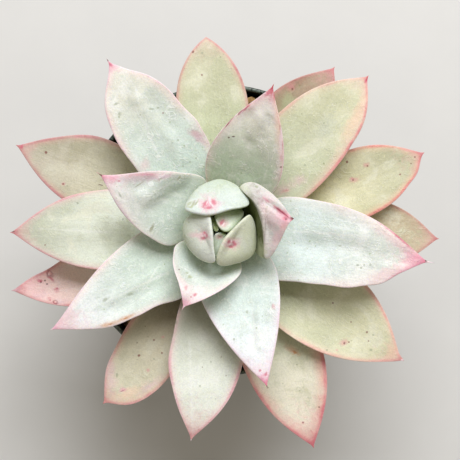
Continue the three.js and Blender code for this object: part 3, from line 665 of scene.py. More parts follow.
def midrib(leaf, seat, shares):
    """Points and directions of the midrib, from the stem to the tip, at shares of its length."""
    reach, height = leaf["reach"] * MM, leaf["tip"] * MM
    tip_turn = math.radians(leaf["azimuth"])
    foot_turn = math.radians(leaf["azimuth"] + leaf["lean"])
    start = seat_point(leaf, seat)
    foot = (start - PLANT).xy.length
    end = PLANT + Vector((reach * math.cos(tip_turn), reach * math.sin(tip_turn), height))
    chord = math.atan2(height - seat, reach - foot)
    handle = leaf["bow"] * (end - start).length
    rise = chord + math.radians(leaf["arch"])
    fall = chord - math.radians(leaf["droop"])
    second = start + heading(foot_turn, rise) * handle
    third = end - heading(tip_turn + math.radians(leaf["hook"]), fall) * handle
    line = []
    for t in shares:
        s = 1 - t
        point = start * s ** 3 + second * (3 * s * s * t) + third * (3 * s * t * t) + end * t ** 3
        along = (second - start) * (3 * s * s) + (third - second) * (6 * s * t) + (end - third) * (3 * t * t)
        line.append((point, along.normalized()))
    return line


def make_leaf_blank():
    """A ball along X, flatter above than below and thin at its sides, that each leaf is drawn out from."""
    put_down()
    bpy.ops.mesh.primitive_uv_sphere_add(segments=16, ring_count=22, radius=BLANK,
                                         rotation=(0, math.pi / 2, 0))
    blank = bpy.context.object
    blank.name = "leaf_blank"
    bpy.ops.object.transform_apply(rotation=True)
    open_up(blank)
    for share, thinning in BLANK_ROWS:
        pick(blank, lambda p: abs(abs(p.co.y) - share * math.hypot(p.co.y, p.co.z)) < 0.02 * BLANK
             and abs(p.co.x) < 0.9999 * BLANK)
        size((1, 1, thinning))
    pick(blank, lambda p: p.co.z > 0)
    size((1, 1, UPPER_SHARE))
    pick(blank, lambda p: p.co.z < 0)
    size((1, 1, 1 - UPPER_SHARE))
    put_down()
    return blank


def stations_of(blank):
    """The blank's rings of points from seat to tip: each one's place on X and its points."""
    rings = {}
    for point in blank.data.vertices:
        rings.setdefault(round(point.co.x / MM, 3), []).append(point.index)
    return [(x * MM, rings[x]) for x in sorted(rings)]


def keep_values(piece, name, values):
    """Keeps a value at each of the piece's points for its finish."""
    piece.data.attributes.new(name, "FLOAT", "POINT").data.foreach_set("value", values)


def draw_leaf(blank, stations, number, leaf):
    """Draws a copy of the blank out along its midrib, ring by ring, and smooths it."""
    body = copy_of(blank, f"echeveria_leaf_{number:02d}")
    seat = FIRST_SEAT + (number - 1) * SEAT_PITCH
    shares = [(x / BLANK + 1) / 2 for x, _ in stations]
    line = midrib(leaf, seat, shares)
    chance = random.Random(100 + number)
    flat = [tuple(p.co) for p in blank.data.vertices]
    turned = math.radians(leaf["azimuth"] + leaf["lean"] / 2)
    across = Vector((-math.sin(turned), math.cos(turned), 0))
    cup = math.radians(leaf["cup"])
    length = sum((line[k + 1][0] - line[k][0]).length for k in range(len(line) - 1))
    line[-1] = (line[-1][0] + line[-1][1] * leaf["thorn"] * MM, line[-1][1])
    upper, rim, to_tip, across_rib, from_seat = ([0] * len(flat) for _ in range(5))
    wave = [chance.uniform(-1, 1) for _ in range(8)]
    open_up(body)
    for k, (x, ring) in enumerate(stations):
        t = shares[k]
        closing = math.sqrt(1 - (1 - min(t / END_ROUNDING, 1)) ** 2)
        round_radius = max(BLANK * math.sqrt(max(0, 1 - (x / BLANK) ** 2)), 1e-6)
        half = leaf["width"] / 2 * MM * half_width(t, leaf) * closing * SPARE_WIDTH
        body_depth = leaf["thick"] * MM * plumpness(t) * closing * SPARE_DEPTH
        for i in ring:
            u, upper[i] = (0, 0) if len(ring) == 1 else (flat[i][1] / round_radius, flat[i][2] / round_radius)
            across_rib[i], rim[i] = u * half, (1 - abs(u)) * half
            from_seat[i], to_tip[i] = t * length, (1 - t) * length
        centre = (x, 0, 0)
        mine = set(ring)
        if len(ring) > 1:
            pick(body, lambda p: p.index in mine)
            size((1, half / round_radius * math.sin(cup) / cup, body_depth / round_radius), centre)
            for side in (-1, 1):
                for share in (1, *(row for row, _ in BLANK_ROWS)):
                    lift = half * (1 - math.cos(cup * share)) / cup
                    if share == 1:
                        waves = 5 * t * math.pi * (1 + 0.2 * wave[2 + side]) + wave[3 + side]
                        lift += MARGIN_ROLL * half * math.sin(waves)
                    pick(body, lambda p: p.index in mine
                         and abs(side * flat[p.index][1] / round_radius - share) < 0.03)
                    slide((0, 0, lift))
            pick(body, lambda p: p.index in mine)
            point, along = line[k]
            side_way = (across - along * across.dot(along)).normalized()
            frame_turn = Matrix((along, side_way, along.cross(side_way))).transposed().to_euler("XYZ")
            turn(frame_turn.x, "X", centre)
            turn(frame_turn.y, "Y", centre)
            turn(frame_turn.z, "Z", centre)
        else:
            pick(body, lambda p: p.index in mine)
        slide(line[k][0] - Vector(centre))
    put_down()
    for name, values in dict(rim=rim, to_tip=to_tip, across_rib=across_rib, from_seat=from_seat).items():
        keep_values(body, name, [value / MM for value in values])
    keep_values(body, "upper", upper)
    apply_modifier(body, "SUBSURF", levels=2, render_levels=2)
    smooth(body)
    return body, length


def on_sight(right, down, height):
    """The point at a height on the sight line through a place of the camera's picture."""
    below = CAMERA.z - height * MM
    return Vector((CAMERA.x + (right - MIDDLE) * below / FOCUS, (MIDDLE - down) * below / FOCUS, height * MM))


def in_picture(point):
    """Where the camera's picture shows a point."""
    below = CAMERA.z - point.z
    return MIDDLE + (point.x - CAMERA.x) * FOCUS / below, MIDDLE - point.y * FOCUS / below


def seen_nearest(body, right, down):
    """The corner of a leaf's mesh that the camera's picture shows nearest to a place."""
    return min(body.data.vertices, key=lambda p: math.dist(in_picture(p.co), (right, down)))


def look_at(body, right, down):
    """Where a leaf is hit by the sight line through a place of the camera's picture, and its normal there."""
    sight = Vector(((right - MIDDLE) / FOCUS, (MIDDLE - down) / FOCUS, -1))
    hit, point, normal, _ = body.ray_cast(CAMERA, sight)
    return (point, normal) if hit else None


def keep_hood_values(body, edge, tip, outward, seat, lip):
    """Keeps at each point how far it is from the rim, the tip and the seat, and which way it faces."""
    points = [point.co.copy() for point in body.data.vertices]
    sides, sideways = len(edge), Vector((-outward.y, outward.x, 0))
    centre = sum(edge, Vector()) / sides
    inner = max(abs((point - centre).dot(outward)) for point in edge)
    upper = []
    for i in range(len(points)):
        side = 5 * (edge[-(i % sides)] - centre).dot(outward) / inner
        below = i // sides > len(DOME)
        upper.append(max(-1 if below else 0, min(1, side)) if below or i < sides else 1)
    climbed = [min(1, max(0, (point.z - seat) / (lip - seat))) for point in points]
    keep_values(body, "rim", [min((point - on_edge).length for on_edge in edge) / MM for point in points])
    keep_values(body, "to_tip", [(point - tip).length / MM for point in points])
    keep_values(body, "across_rib", [(point - tip).dot(sideways) / MM for point in points])
    keep_values(body, "from_seat", [HOOD_LENGTH / MM * share for share in climbed])
    keep_values(body, "upper", upper)


def draw_hood(number, leaf, hood):
    """Lays a disc out to a closed leaf's outline, domes it above its lip and draws it down to its seat."""
    seat = FIRST_SEAT + (number - 1) * SEAT_PITCH
    outward = heading(math.radians(leaf["azimuth"]), 0)
    sideways = Vector((-outward.y, outward.x, 0))
    flat = [on_sight(right, down, hood["lip"]) - PLANT for right, down in hood["outline"]]
    near, far = min(p.dot(outward) for p in flat), max(p.dot(outward) for p in flat)
    right_end, left_end = min(p.dot(sideways) for p in flat), max(p.dot(sideways) for p in flat)

    def seen_at(right, down):
        """The point at a place of the picture, on a surface that falls outward and sags at both ends."""
        point = on_sight(right, down, hood["lip"]) - PLANT
        back = (point.dot(outward) - near) / (far - near)
        end = 2 * (point.dot(sideways) - right_end) / (left_end - right_end) - 1
        return on_sight(right, down, hood["lip"] - hood["fall"] * back - hood["sag"] * end * end)

    crown = seen_at(*hood["crown"])
    edge = [crown + (seen_at(*place_seen) - crown) * SPARE_HOOD for place_seen in hood["outline"]]
    sides = len(edge)
    put_down()
    bpy.ops.mesh.primitive_circle_add(vertices=sides, radius=BLANK, fill_type="NGON")
    body = bpy.context.object
    body.name = body.data.name = f"echeveria_leaf_{number:02d}"
    start = [point.co.copy() for point in body.data.vertices]
    open_up(body)
    for k in range(sides):
        pick(body, lambda p: p.index == k)
        slide(edge[-k] - start[k])
    bpy.ops.mesh.select_all(action="SELECT")
    scale, height = 1, 0
    for wide, high in DOME:
        bpy.ops.mesh.extrude_region()
        size([wide / scale] * 3, crown)
        slide((0, 0, (high - height) * hood["rise"] * MM))
        scale, height = wide, high
    top = crown + Vector((0, 0, hood["rise"] * MM))
    put_down()
    open_up(body)
    pick(body, lambda p: p.index < sides)
    centre = sum(edge, Vector()) / sides
    foot = seat_point(leaf, seat) + outward * HOOD_FOOT_OUT
    foot_scale = HOOD_FOOT_RADIUS / (sum((point - centre).length for point in edge) / sides)
    steps = [(wide, centre - Vector((0, 0, drop * MM)) - outward * inward * MM)
             for wide, drop, inward in hood.get("under", USUAL_UNDER)]
    last_scale, last_centre = steps[-1]
    steps += [(last_scale + (foot_scale - last_scale) * share, last_centre.lerp(foot, share))
              for share in HOOD_STEPS]
    scale, here = 1, centre
    for wide, there in steps:
        bpy.ops.mesh.extrude_region()
        size([wide / scale] * 3, here)
        slide(there - here)
        scale, here = wide, there
    put_down()
    bpy.ops.object.mode_set(mode="EDIT")
    bpy.ops.mesh.select_all(action="SELECT")
    bpy.ops.mesh.normals_make_consistent(inside=False)
    put_down()

    tip = seen_at(*hood["tip"]) if "tip" in hood else top
    keep_hood_values(body, edge, tip, outward, seat, hood["lip"] * MM)
    apply_modifier(body, "SUBSURF", levels=2, render_levels=2)
    smooth(body)
    return body, HOOD_LENGTH


def leaf_finish(number, looks, marks):
    """Powdery bloom over a greener seat that is painted shade on some leaves and painted light on others,
    blushing margins and tip, a painted rim highlight, and specks, scars, painted highlights and painted shade
    as marks.
    """
    material, tree, shader = finish_named(f"leaf_bloom_{number:02d}")
    where = place(tree, offset=(0.31 * number, 0.17 * number, 0.11 * number))
    rim, to_tip, upper = kept(tree, "rim"), kept(tree, "to_tip"), kept(tree, "upper")
    from_seat, across = kept(tree, "from_seat"), kept(tree, "across_rib")
    lines = tree.nodes.new("ShaderNodeCombineXYZ")
    feed(tree, lines.inputs["X"], across)
    feed(tree, lines.inputs["Y"], sums(tree, "MULTIPLY", from_seat, 0.14))
    lines.inputs["Z"].default_value = 3.7 * number
    streaks = noise(tree, lines.outputs["Vector"], 1.5, 3, 0.6, 0.5)
    patches = noise(tree, where, 9 * MM, 4, 0.6, 0.4)
    smudges = noise(tree, where, 2.2 * MM, 3, 0.65, 0.8)
    powder = noise(tree, where, 0.42 * MM, 2, 0.7)
    flakes = noise(tree, where, 0.9 * MM, 2, 0.6, 0.6)
    wrinkles = sums(tree, "ABSOLUTE", sums(tree, "SUBTRACT", noise(tree, where, 5 * MM, 3, 0.55, 1.4), 0.5))
    wrinkles = sums(tree, "MULTIPLY", between(tree, wrinkles, 0, 0.028, 1, 0),
                    between(tree, patches, 0.42, 0.6))
    pinholes = between(tree, cells(tree, where, 2.6 * MM), 0.07, 0.13, 1, 0)

    def overlaid(skin, rows):
        """Lays the looks' colours over the skin, each by a value and the step that it takes."""
        for tone, value, low, high, start, end in rows:
            skin = paint(tree, between(tree, value, low, high, start, end), skin, looks[tone])
        return skin

    length, lined, flaky = looks["length"], looks["streaks"], looks["flakes"]
    skin = overlaid(looks["base"], [
        ("far", from_seat, 0.35 * length, 0.95 * length, 0, 1),
        ("bare", patches, 0.46, 0.62, 0, 0.5), ("bare", smudges, 0.56, 0.66, 0, 0.35),
        ("cream", patches, 0.34, 0.46, 0.5, 0), ("cream", streaks, 0.3, 0.4, lined, 0),
        ("bare", streaks, 0.62, 0.72, 0, lined), ("bare", flakes, 0.56, 0.68, 0, flaky),
        ("cream", flakes, 0.32, 0.42, flaky, 0)])
    skin = paint(tree, sums(tree, "MULTIPLY", wrinkles, looks["netting"]), skin, looks["cream"])
    dotted = sums(tree, "MULTIPLY", pinholes, between(tree, smudges, 0.5, 0.56, 0, 0.5))
    skin = paint(tree, dotted, skin, looks["flesh_and_painted_shading"])
    # Towards the seat the skin takes the seat colour: greener there, painted shade on some leaves and painted
    # light on others.
    skin = overlaid(skin, [("flesh_and_painted_shading", from_seat, 1, looks["green_reach"] * length, looks["green"], 0),
                           ("flesh_and_painted_shading", upper, 0, 0.25, 0, looks["inner_green"])])

    sides = between(tree, across, -1, 1, looks["clockwise_edge"], looks["other_edge"])
    waver = between(tree, patches, 0.35, 0.65, 0.5, 1.3)
    outward = between(tree, from_seat, 0.25 * length, 0.75 * length, 0.35, 1)
    blushing = sums(tree, "MULTIPLY", sums(tree, "MULTIPLY", sides, outward), waver)
    edge_width = looks["edge_width"]
    for tone, low, high, share in (("band", 0.3 * edge_width, looks["edge_fade"], 0.85),
                                   ("edge", 0.4 * edge_width, 1.3 * edge_width, 0.9)):
        margin = sums(tree, "MULTIPLY", blushing, between(tree, rim, low, high, share, 0))
        skin = paint(tree, sums(tree, "MINIMUM", margin, 1), skin, looks[tone])
    blush = sums(tree, "MULTIPLY", to_tip, between(tree, smudges, 0.3, 0.7, 0.7, 1.4))
    # A painted highlight along the margin's very edge.
    skin = overlaid(skin, [("rim", rim, 0.15, 0.55, looks["rim_light"], 0),
                           ("tip", blush, 0, looks["tip_length"], looks["tip_share"], 0),
                           ("point", blush, 0.4, 0.32 * looks["tip_length"], looks["point_share"], 0)])
    underside = paint(tree, looks["under_share"], skin, looks["under"])
    skin = paint(tree, between(tree, upper, -0.25, 0), underside, skin)
    for mark in marks:
        skin = paint_mark(tree, skin, smudges, *mark)
    grain = paint(tree, between(tree, powder, 0.35, 0.65), colour(243, 243, 243), colour(255, 255, 255))
    feed(tree, shader.inputs["Base Color"], paint(tree, 1, skin, grain, "MULTIPLY"))
    feed(tree, shader.inputs["Roughness"], between(tree, patches, 0.3, 0.7, 0.62, 0.5))
    bumps = None
    for pattern, depth, share in ((patches, 0.9, looks["swell"]), (streaks, 0.25, 0.5),
                                  (smudges, 0.16, 0.6), (wrinkles, 0.1, 0.6), (powder, 0.02, 0.5)):
        bumps = relief(tree, pattern, depth * MM, share, bumps)
    feed(tree, shader.inputs["Normal"], bumps)
    shader.inputs["Subsurface Weight"].default_value = 0.15
    shader.inputs["Subsurface Radius"].default_value = (1.0, 0.9, 0.5)
    shader.inputs["Subsurface Scale"].default_value = 1.5 * MM
    return material


def paint_mark(tree, skin, raggedness, kind, centre, widths, turned):
    """A speck, blotch, scar, painted highlight or painted shade at one place on the leaf."""
    tint, share, soft = MARK_KINDS[kind]
    where = tree.nodes.new("ShaderNodeTexCoord")
    mapping = tree.nodes.new("ShaderNodeMapping")
    mapping.vector_type = "TEXTURE"
    mapping.inputs["Location"].default_value = centre
    mapping.inputs["Rotation"].default_value = (0, 0, turned)
    mapping.inputs["Scale"].default_value = widths
    tree.links.new(where.outputs["Object"], mapping.inputs["Vector"])
    away = tree.nodes.new("ShaderNodeVectorMath")
    away.operation = "LENGTH"
    tree.links.new(mapping.outputs["Vector"], away.inputs[0])
    ragged = sums(tree, "MULTIPLY", away.outputs["Value"], between(tree, raggedness, 0.3, 0.7, 0.7, 1.35))
    return paint(tree, between(tree, ragged, 1 - soft, 1 + soft, share, 0), skin, colour(*tint))


def mark_on(body, kind, right, down, width, length=None, turned=0):
    """Finds a mark's place and size by a look from the camera; a miss takes the leaf's nearest point."""
    hit = look_at(body, right, down)
    point = hit[0] if hit else seen_nearest(body, right, down).co.copy()
    pixel = (CAMERA.z - point.z) / FOCUS
    length = length or width
    widths = (width / 2 * pixel, length / 2 * pixel, max(width, length) * pixel)
    return kind, point, widths, math.radians(turned)


def work_margins(number, body):
    """Pulls a leaf's margin out or in, a little at each place."""
    for right, down, shift_right, shift_down, reach in BULGES.get(number, ()):
        nearest = seen_nearest(body, right, down)
        pixel = (CAMERA.z - nearest.co.z) / FOCUS
        index = nearest.index
        open_up(body)
        pick(body, lambda p: p.index == index)
        nudge(Vector((shift_right, -shift_down, 0)) * pixel, reach * MM)
        put_down()


def work_creases(number, body):
    """Raises or presses in each of a leaf's folds and creases."""
    for height, reach, line in CREASES.get(number, ()):
        hits = [hit for hit in (look_at(body, *place_seen) for place_seen in line) if hit]
        if not hits:
            continue
        ends = [point for point, _ in hits]
        spans = list(zip(ends, ends[1:])) or [(ends[0], ends[0] + Vector((0, 0, 1e-6)))]
        push = sum((normal for _, normal in hits), Vector()).normalized()

        def near(point):
            for start, end in spans:
                share = geometry.intersect_point_line(point.co, start, end)[1]
                if (point.co - start.lerp(end, min(1, max(0, share)))).length < CREASE_CORE * reach * MM:
                    return point.normal.dot(push) > 0
            return False

        open_up(body)
        pick(body, near)
        if any(point.select for point in bmesh.from_edit_mesh(body.data).verts):
            nudge(push * height * MM, reach * MM)
        put_down()


def looks_of(number, usual, length):
    """A leaf's own looks over the usual ones, with linear colours."""
    looks = {**usual, **LOOKS.get(number, {}), "length": length / MM}
    return {key: colour(*value) if isinstance(value, tuple) else value for key, value in looks.items()}


def make_rosette():
    """The leaves, from the lowest to the heart, each with its folds, its marks and its own finish."""
    blank = make_leaf_blank()
    stations = stations_of(blank)
    for number, shape in enumerate(LEAVES, start=1):
        leaf = {**USUAL_LEAF, **shape}
        if number in HOODS:
            body, length = draw_hood(number, leaf, HOODS[number])
        else:
            body, length = draw_leaf(blank, stations, number, leaf)
        work_margins(number, body)
        work_creases(number, body)
        usual = OUTER if number < FIRST_INNER_LEAF else INNER if number < FIRST_HEART_LEAF else HEART
        marks = [mark_on(body, *mark) for mark in MARKS.get(number, ())]
        body.data.materials.append(leaf_finish(number, looks_of(number, usual, length), marks))
        seat_on_root(body, f"leaf_{number:02d}")
    bpy.data.objects.remove(blank)


# Pot, soil, grit and stem

def draw_up(profile):
    """Draws the selected round face up through half widths and heights, given in millimetres."""
    for (wide, low), (wider, high) in zip(profile, profile[1:]):
        bpy.ops.mesh.extrude_region()
        size((wider / wide, wider / wide, 1))
        slide((0, 0, (high - low) * MM))


def round_piece(name, profile, sides=96):
    """A closed round piece, drawn up ring by ring from a flat disc."""
    put_down()
    wide, low = profile[0]
    bpy.ops.mesh.primitive_circle_add(vertices=sides, radius=wide * MM, fill_type="NGON",
                                      location=(0, 0, low * MM))
    piece = bpy.context.object
    piece.name = name
    bpy.ops.object.transform_apply(location=True)
    bpy.ops.object.mode_set(mode="EDIT")
    bpy.ops.mesh.select_mode(type="VERT")
    bpy.ops.mesh.select_all(action="SELECT")
    draw_up(profile)
    bpy.ops.mesh.select_all(action="SELECT")
    bpy.ops.mesh.normals_make_consistent(inside=False)
    put_down()
    return piece


def pot_finish():
    """Thin dark green-black plastic, a little dusty, with a lip paler from wear and a painted highlight."""
    material, tree, shader = finish_named("dark_pot_plastic")
    where = place(tree)
    height = tree.nodes.new("ShaderNodeSeparateXYZ")
    feed(tree, height.inputs["Vector"], where)
    clouds = noise(tree, where, 14 * MM, 5, 0.6)
    scratches = noise(tree, place(tree, scale=(1, 1, 0.08)), 0.7 * MM, 3, 0.6)
    skin = paint(tree, between(tree, clouds, 0.35, 0.7), colour(22, 31, 25), colour(28, 38, 31))
    skin = paint(tree, between(tree, scratches, 0.66, 0.76, 0, 0.25), skin, colour(92, 102, 92))
    dust = sums(tree, "MULTIPLY", between(tree, clouds, 0.45, 0.72), 0.1)
    skin = paint(tree, dust, skin, colour(112, 104, 88))
    # The lip's top is paler: partly wear, partly a painted highlight.
    worn_and_highlit = sums(tree, "MULTIPLY", between(tree, height.outputs["Z"], 74.3 * MM, 75 * MM, 0, 0.55),
                between(tree, scratches, 0.35, 0.6))
    skin = paint(tree, worn_and_highlit, skin, colour(134, 148, 134))
    feed(tree, shader.inputs["Base Color"], skin)
    feed(tree, shader.inputs["Roughness"], between(tree, clouds, 0.3, 0.7, 0.4, 0.5))
    waves = relief(tree, clouds, 0.1 * MM, 0.3)
    grain = noise(tree, where, 0.5 * MM, 2)
    feed(tree, shader.inputs["Normal"], relief(tree, grain, 0.02 * MM, 0.5, waves))
    return material


def make_pot():
    """A thin shell with a stepped collar, a rolled lip, a recessed base and drain holes."""
    turns = [math.radians(angle) for angle in range(-30, 181, 21)]
    lip = [(LIP_RADIUS + LIP_ROLL * math.cos(a), LIP_HEIGHT + LIP_ROLL * math.sin(a)) for a in turns]
    pot = round_piece("nursery_pot", [(25.2, 0.45), (25.8, 0.4), (26.2, 0), (29.9, 0), (30.6, 0.25), (31, 1),
                                      (42.9, 64.7), (43.1, 65), (44.2, 65.4), (44.38, 65.9), (44.5, 72.8),
                                      (44.6, 73.6)] + lip
                      + [(43.66, 66.3), (43.5, 65.9), (42.35, 65.3), (42.2, 64.7), (30.5, 2), (30, 1.4),
                         (29.3, 1.2)])
    put_down()
    bpy.ops.mesh.primitive_cylinder_add(vertices=32, radius=DRAIN_RADIUS * MM, depth=6 * MM,
                                        location=(DRAIN_CIRCLE * MM, 0, 0.6 * MM))
    drill = bpy.context.object
    bpy.ops.object.transform_apply(location=True)
    bpy.ops.object.mode_set(mode="EDIT")
    for _ in range(1, DRAIN_HOLES):
        bpy.ops.mesh.duplicate()
        turn(math.tau / DRAIN_HOLES, "Z")
    apply_modifier(pot, "BOOLEAN", object=drill, operation="DIFFERENCE", solver="EXACT")
    bpy.data.objects.remove(drill)
    smooth(pot, 32)
    pot.data.materials.append(pot_finish())
    seat_on_root(pot, "pot")


def soil_finish():
    """Damp peaty potting mix with fibres and a few pale grains."""
    material, tree, shader = finish_named("moist_potting_mix")
    where = place(tree)
    lumps = noise(tree, where, 3 * MM, 5, 0.7)
    fibres = noise(tree, place(tree, scale=(1, 0.15, 1)), 0.8 * MM, 3, 0.6, 1.5)
    grains = cells(tree, where, 1.1 * MM)
    skin = paint(tree, between(tree, lumps, 0.3, 0.7), colour(44, 32, 24), colour(92, 70, 50))
    skin = paint(tree, between(tree, fibres, 0.6, 0.7, 0, 0.7), skin, colour(128, 100, 72))
    skin = paint(tree, between(tree, grains, 0.12, 0.2, 0.5, 0), skin, colour(160, 132, 96))
    feed(tree, shader.inputs["Base Color"], skin)
    shader.inputs["Roughness"].default_value = 0.95
    clods = relief(tree, lumps, 1.5 * MM, 0.8)
    feed(tree, shader.inputs["Normal"], relief(tree, grains, 0.6 * MM, 0.7, clods))
    return material


def make_soil():
    """The root ball, smooth against the pot's wall and crumbly on top."""
    soil = round_piece("potting_soil", [(29, 1.6), (30, 2), (41.9, 64.9), (43.2, 66.4), (43.3, 68.9)]
                       + [(SOIL_RADIUS - SOIL_RING * k, SOIL_TOP) for k in range(26)])
    just_below, just_inside = (SOIL_TOP - 0.2) * MM, (SOIL_RADIUS - 0.4) * MM
    open_up(soil)
    pick(soil, lambda p: p.co.z > just_below)
    bpy.ops.mesh.subdivide(number_cuts=1)
    pick(soil, lambda p: p.co.z > just_below and math.hypot(p.co.x, p.co.y) < just_inside)
    soil.vertex_groups.new(name="top")
    bpy.ops.object.vertex_group_assign()
    put_down()
    for grain, depth in ((9, 1.6), (2.4, 1.6)):
        clods = bpy.data.textures.new("clods", "CLOUDS")
        clods.noise_scale, clods.noise_depth = grain * MM, 2
        apply_modifier(soil, "DISPLACE", texture=clods, texture_coords="LOCAL", direction="Z",
                       strength=depth * MM, mid_level=0.4, vertex_group="top")
    smooth(soil, 60)
    soil.data.materials.append(soil_finish())
    seat_on_root(soil, "soil")
    return soil


def grit_finish(name, light, dark):
    """Porous mineral grain."""
    material, tree, shader = finish_named(name)
    where = place(tree)
    pores = cells(tree, where, 0.5 * MM)
    clouds = noise(tree, where, 1.6 * MM, 4, 0.65)
    skin = paint(tree, between(tree, clouds, 0.35, 0.65), dark, light)
    skin = paint(tree, between(tree, pores, 0.1, 0.3, 0.6, 0), skin, colour(84, 62, 38))
    feed(tree, shader.inputs["Base Color"], skin)
    shader.inputs["Roughness"].default_value = 0.9
    lumps = relief(tree, clouds, 0.5 * MM, 0.8)
    feed(tree, shader.inputs["Normal"], relief(tree, pores, 0.25 * MM, 0.8, lumps))
    return material


def make_stone(name, fineness, lumps):
    """A broken grain, 1 m across until it is placed."""
    put_down()
    bpy.ops.mesh.primitive_ico_sphere_add(subdivisions=fineness, radius=0.5)
    stone = bpy.context.object
    stone.name = name
    dents = bpy.data.textures.new("dents", "VORONOI")
    dents.noise_scale = lumps
    apply_modifier(stone, "DISPLACE", texture=dents, texture_coords="LOCAL", strength=0.22, mid_level=0.5)
    smooth(stone, 50)
    return stone


def lay(stone, name, centre, widths, chance):
    """Puts a copy of a stone where it lies, turned its own way."""
    grain = copy_of(stone, name)
    take_up(grain)
    grain.rotation_euler = [chance.uniform(0, math.tau) for _ in range(3)]
    bpy.ops.object.transform_apply(rotation=True)
    grain.location, grain.scale = centre, widths
    bpy.ops.object.transform_apply(location=True, scale=True)
    return grain


def make_grains(chance):
    """Coarse grains along the wall."""
    tan = grit_finish("tan_grit", colour(176, 140, 88), colour(140, 106, 64))
    stones = [make_stone(f"grain_{k}", 4, 0.6 + 0.15 * k) for k in range(3)]
    for stone in stones:
        stone.data.materials.append(tan)
    for k in range(GRAINS):
        node = f"grit_{k + 1:02d}"
        low, high = (Vector(corner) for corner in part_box(node))
        name = f"pumice_grain_{k + 1:02d}"
        grain = lay(stones[k % 3], name, (low + high) / 2, (high - low) * GRAIN_SPARE, chance)
        seat_on_root(grain, node)
    for stone in stones:
        bpy.data.objects.remove(stone)


def scatter(soil, name, finish, count, least, most, chance):
    """Strews pieces least to most millimetres wide over the soil round the stem, and joins them to one."""
    pebble = make_stone("pebble", 1, 0.7)
    scattered = []
    while len(scattered) < count:
        away, angle = CRUMBS_TO * math.sqrt(chance.random()), chance.uniform(0, math.tau)
        above = Vector((away * math.cos(angle), away * math.sin(angle), 0.09))
        hit, point, _, _ = soil.ray_cast(above, (0, 0, -1))
        if not hit or away < CRUMBS_FROM:
            continue
        wide = chance.uniform(least, most) * MM
        widths = (wide, wide * chance.uniform(0.6, 1), wide * 0.7)
        scattered.append(lay(pebble, name, point, widths, chance))
    bpy.data.objects.remove(pebble)
    put_down()
    for crumb in scattered:
        crumb.select_set(True)
    bpy.context.view_layer.objects.active = scattered[0]
    bpy.ops.object.join()
    heap = bpy.context.object
    heap.name = name
    heap.data.materials.append(finish)
    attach(heap, "root")


def make_grit(soil):
    """Coarse grains along the wall, and small ones and crumbs of peat all over the soil."""
    chance = random.Random(7)
    make_grains(chance)
    dusty = grit_finish("small_grit", colour(190, 164, 124), colour(120, 88, 58))
    scatter(soil, "small_grit", dusty, 150, 0.5, 1.3, chance)
    scatter(soil, "peat_crumbs", soil.data.materials[0], 330, 0.6, 2, chance)


def stem_finish():
    """Green-brown stem skin, corky towards the soil, with pale leaf scars."""
    material, tree, shader = finish_named("stem_skin")
    where = place(tree)
    scars = cells(tree, place(tree, scale=(1, 1, 2.6)), 5 * MM, "DISTANCE_TO_EDGE")
    clouds = noise(tree, where, 3 * MM, 4, 0.6)
    height = tree.nodes.new("ShaderNodeSeparateXYZ")
    feed(tree, height.inputs["Vector"], where)
    corky = between(tree, height.outputs["Z"], 70 * MM, 90 * MM, 1, 0)
    skin = paint(tree, between(tree, clouds, 0.3, 0.7), colour(146, 158, 106), colour(172, 178, 130))
    cork = paint(tree, between(tree, clouds, 0.4, 0.6), colour(112, 92, 62), colour(146, 122, 84))
    skin = paint(tree, corky, skin, cork)
    skin = paint(tree, between(tree, scars, 0.02, 0.12, 0.6, 0), skin, colour(190, 172, 132))
    feed(tree, shader.inputs["Base Color"], skin)
    shader.inputs["Roughness"].default_value = 0.75
    swellings = relief(tree, clouds, 0.6 * MM, 0.6)
    feed(tree, shader.inputs["Normal"], relief(tree, scars, 0.5 * MM, 0.6, swellings))
    return material


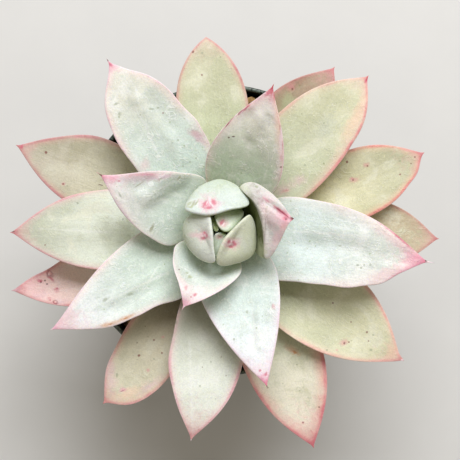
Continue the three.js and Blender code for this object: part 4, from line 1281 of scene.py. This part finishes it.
def make_stem():
    """A short stem that narrows upwards, with an uneven skin."""
    heights = [STEM_FOOT + (STEM_TOP - STEM_FOOT) * k / STEM_RINGS for k in range(STEM_RINGS + 1)]
    stem = round_piece("rosette_stem", [(stem_radius(height) / MM, height / MM) for height in heights], 40)
    open_up(stem)
    bpy.ops.mesh.select_all(action="SELECT")
    slide(PLANT)
    put_down()
    knots = bpy.data.textures.new("knots", "CLOUDS")
    knots.noise_scale = 3.5 * MM
    apply_modifier(stem, "DISPLACE", texture=knots, texture_coords="LOCAL", strength=0.8 * MM, mid_level=0.5)
    smooth(stem, 60)
    stem.data.materials.append(stem_finish())
    seat_on_root(stem, "stem")


# Stage

def plain_finish(name, tint, roughness):
    """One colour with faint clouds in it."""
    material, tree, shader = finish_named(name)
    clouds = noise(tree, place(tree), 30 * MM, 4)
    feed(tree, shader.inputs["Base Color"],
         paint(tree, between(tree, clouds, 0.3, 0.7, 0, 0.25), tint, [c * 0.9 for c in tint[:3]] + [1]))
    shader.inputs["Roughness"].default_value = roughness
    return material


def set_stage():
    """A plain pale floor, the camera, a window for a lamp, and the light of the room."""
    put_down()
    bpy.ops.mesh.primitive_plane_add(size=FLOOR_WIDTH)
    floor = bpy.context.object
    floor.name = "pale_floor"
    floor.data.materials.append(plain_finish("pale_floor", colour(226, 224, 220), 0.8))
    bpy.ops.object.camera_add(location=CAMERA, rotation=(0, 0, 0))
    camera = bpy.context.object
    camera.data.lens = FOCUS * SENSOR / PICTURE
    camera.data.sensor_width = SENSOR
    camera.data.clip_start = 0.01
    bpy.context.scene.camera = camera
    facing = (WINDOW - WINDOW_AIM).to_track_quat("Z", "Y").to_euler()
    bpy.ops.object.light_add(type="AREA", location=WINDOW, rotation=facing)
    lamp = bpy.context.object.data
    lamp.shape = "RECTANGLE"
    lamp.size, lamp.size_y = WINDOW_SIZE
    lamp.energy = WINDOW_ENERGY
    lamp.color = WINDOW_TINT
    world = bpy.data.worlds.new("studio")
    bpy.context.scene.world = world
    world.use_nodes = True
    room = world.node_tree.nodes["Background"]
    room.inputs["Color"].default_value = ROOM_TINT
    room.inputs["Strength"].default_value = ROOM_STRENGTH
    bpy.context.scene.view_settings.view_transform = "Standard"


make_pot()
make_grit(make_soil())
make_stem()
make_rosette()
set_stage()
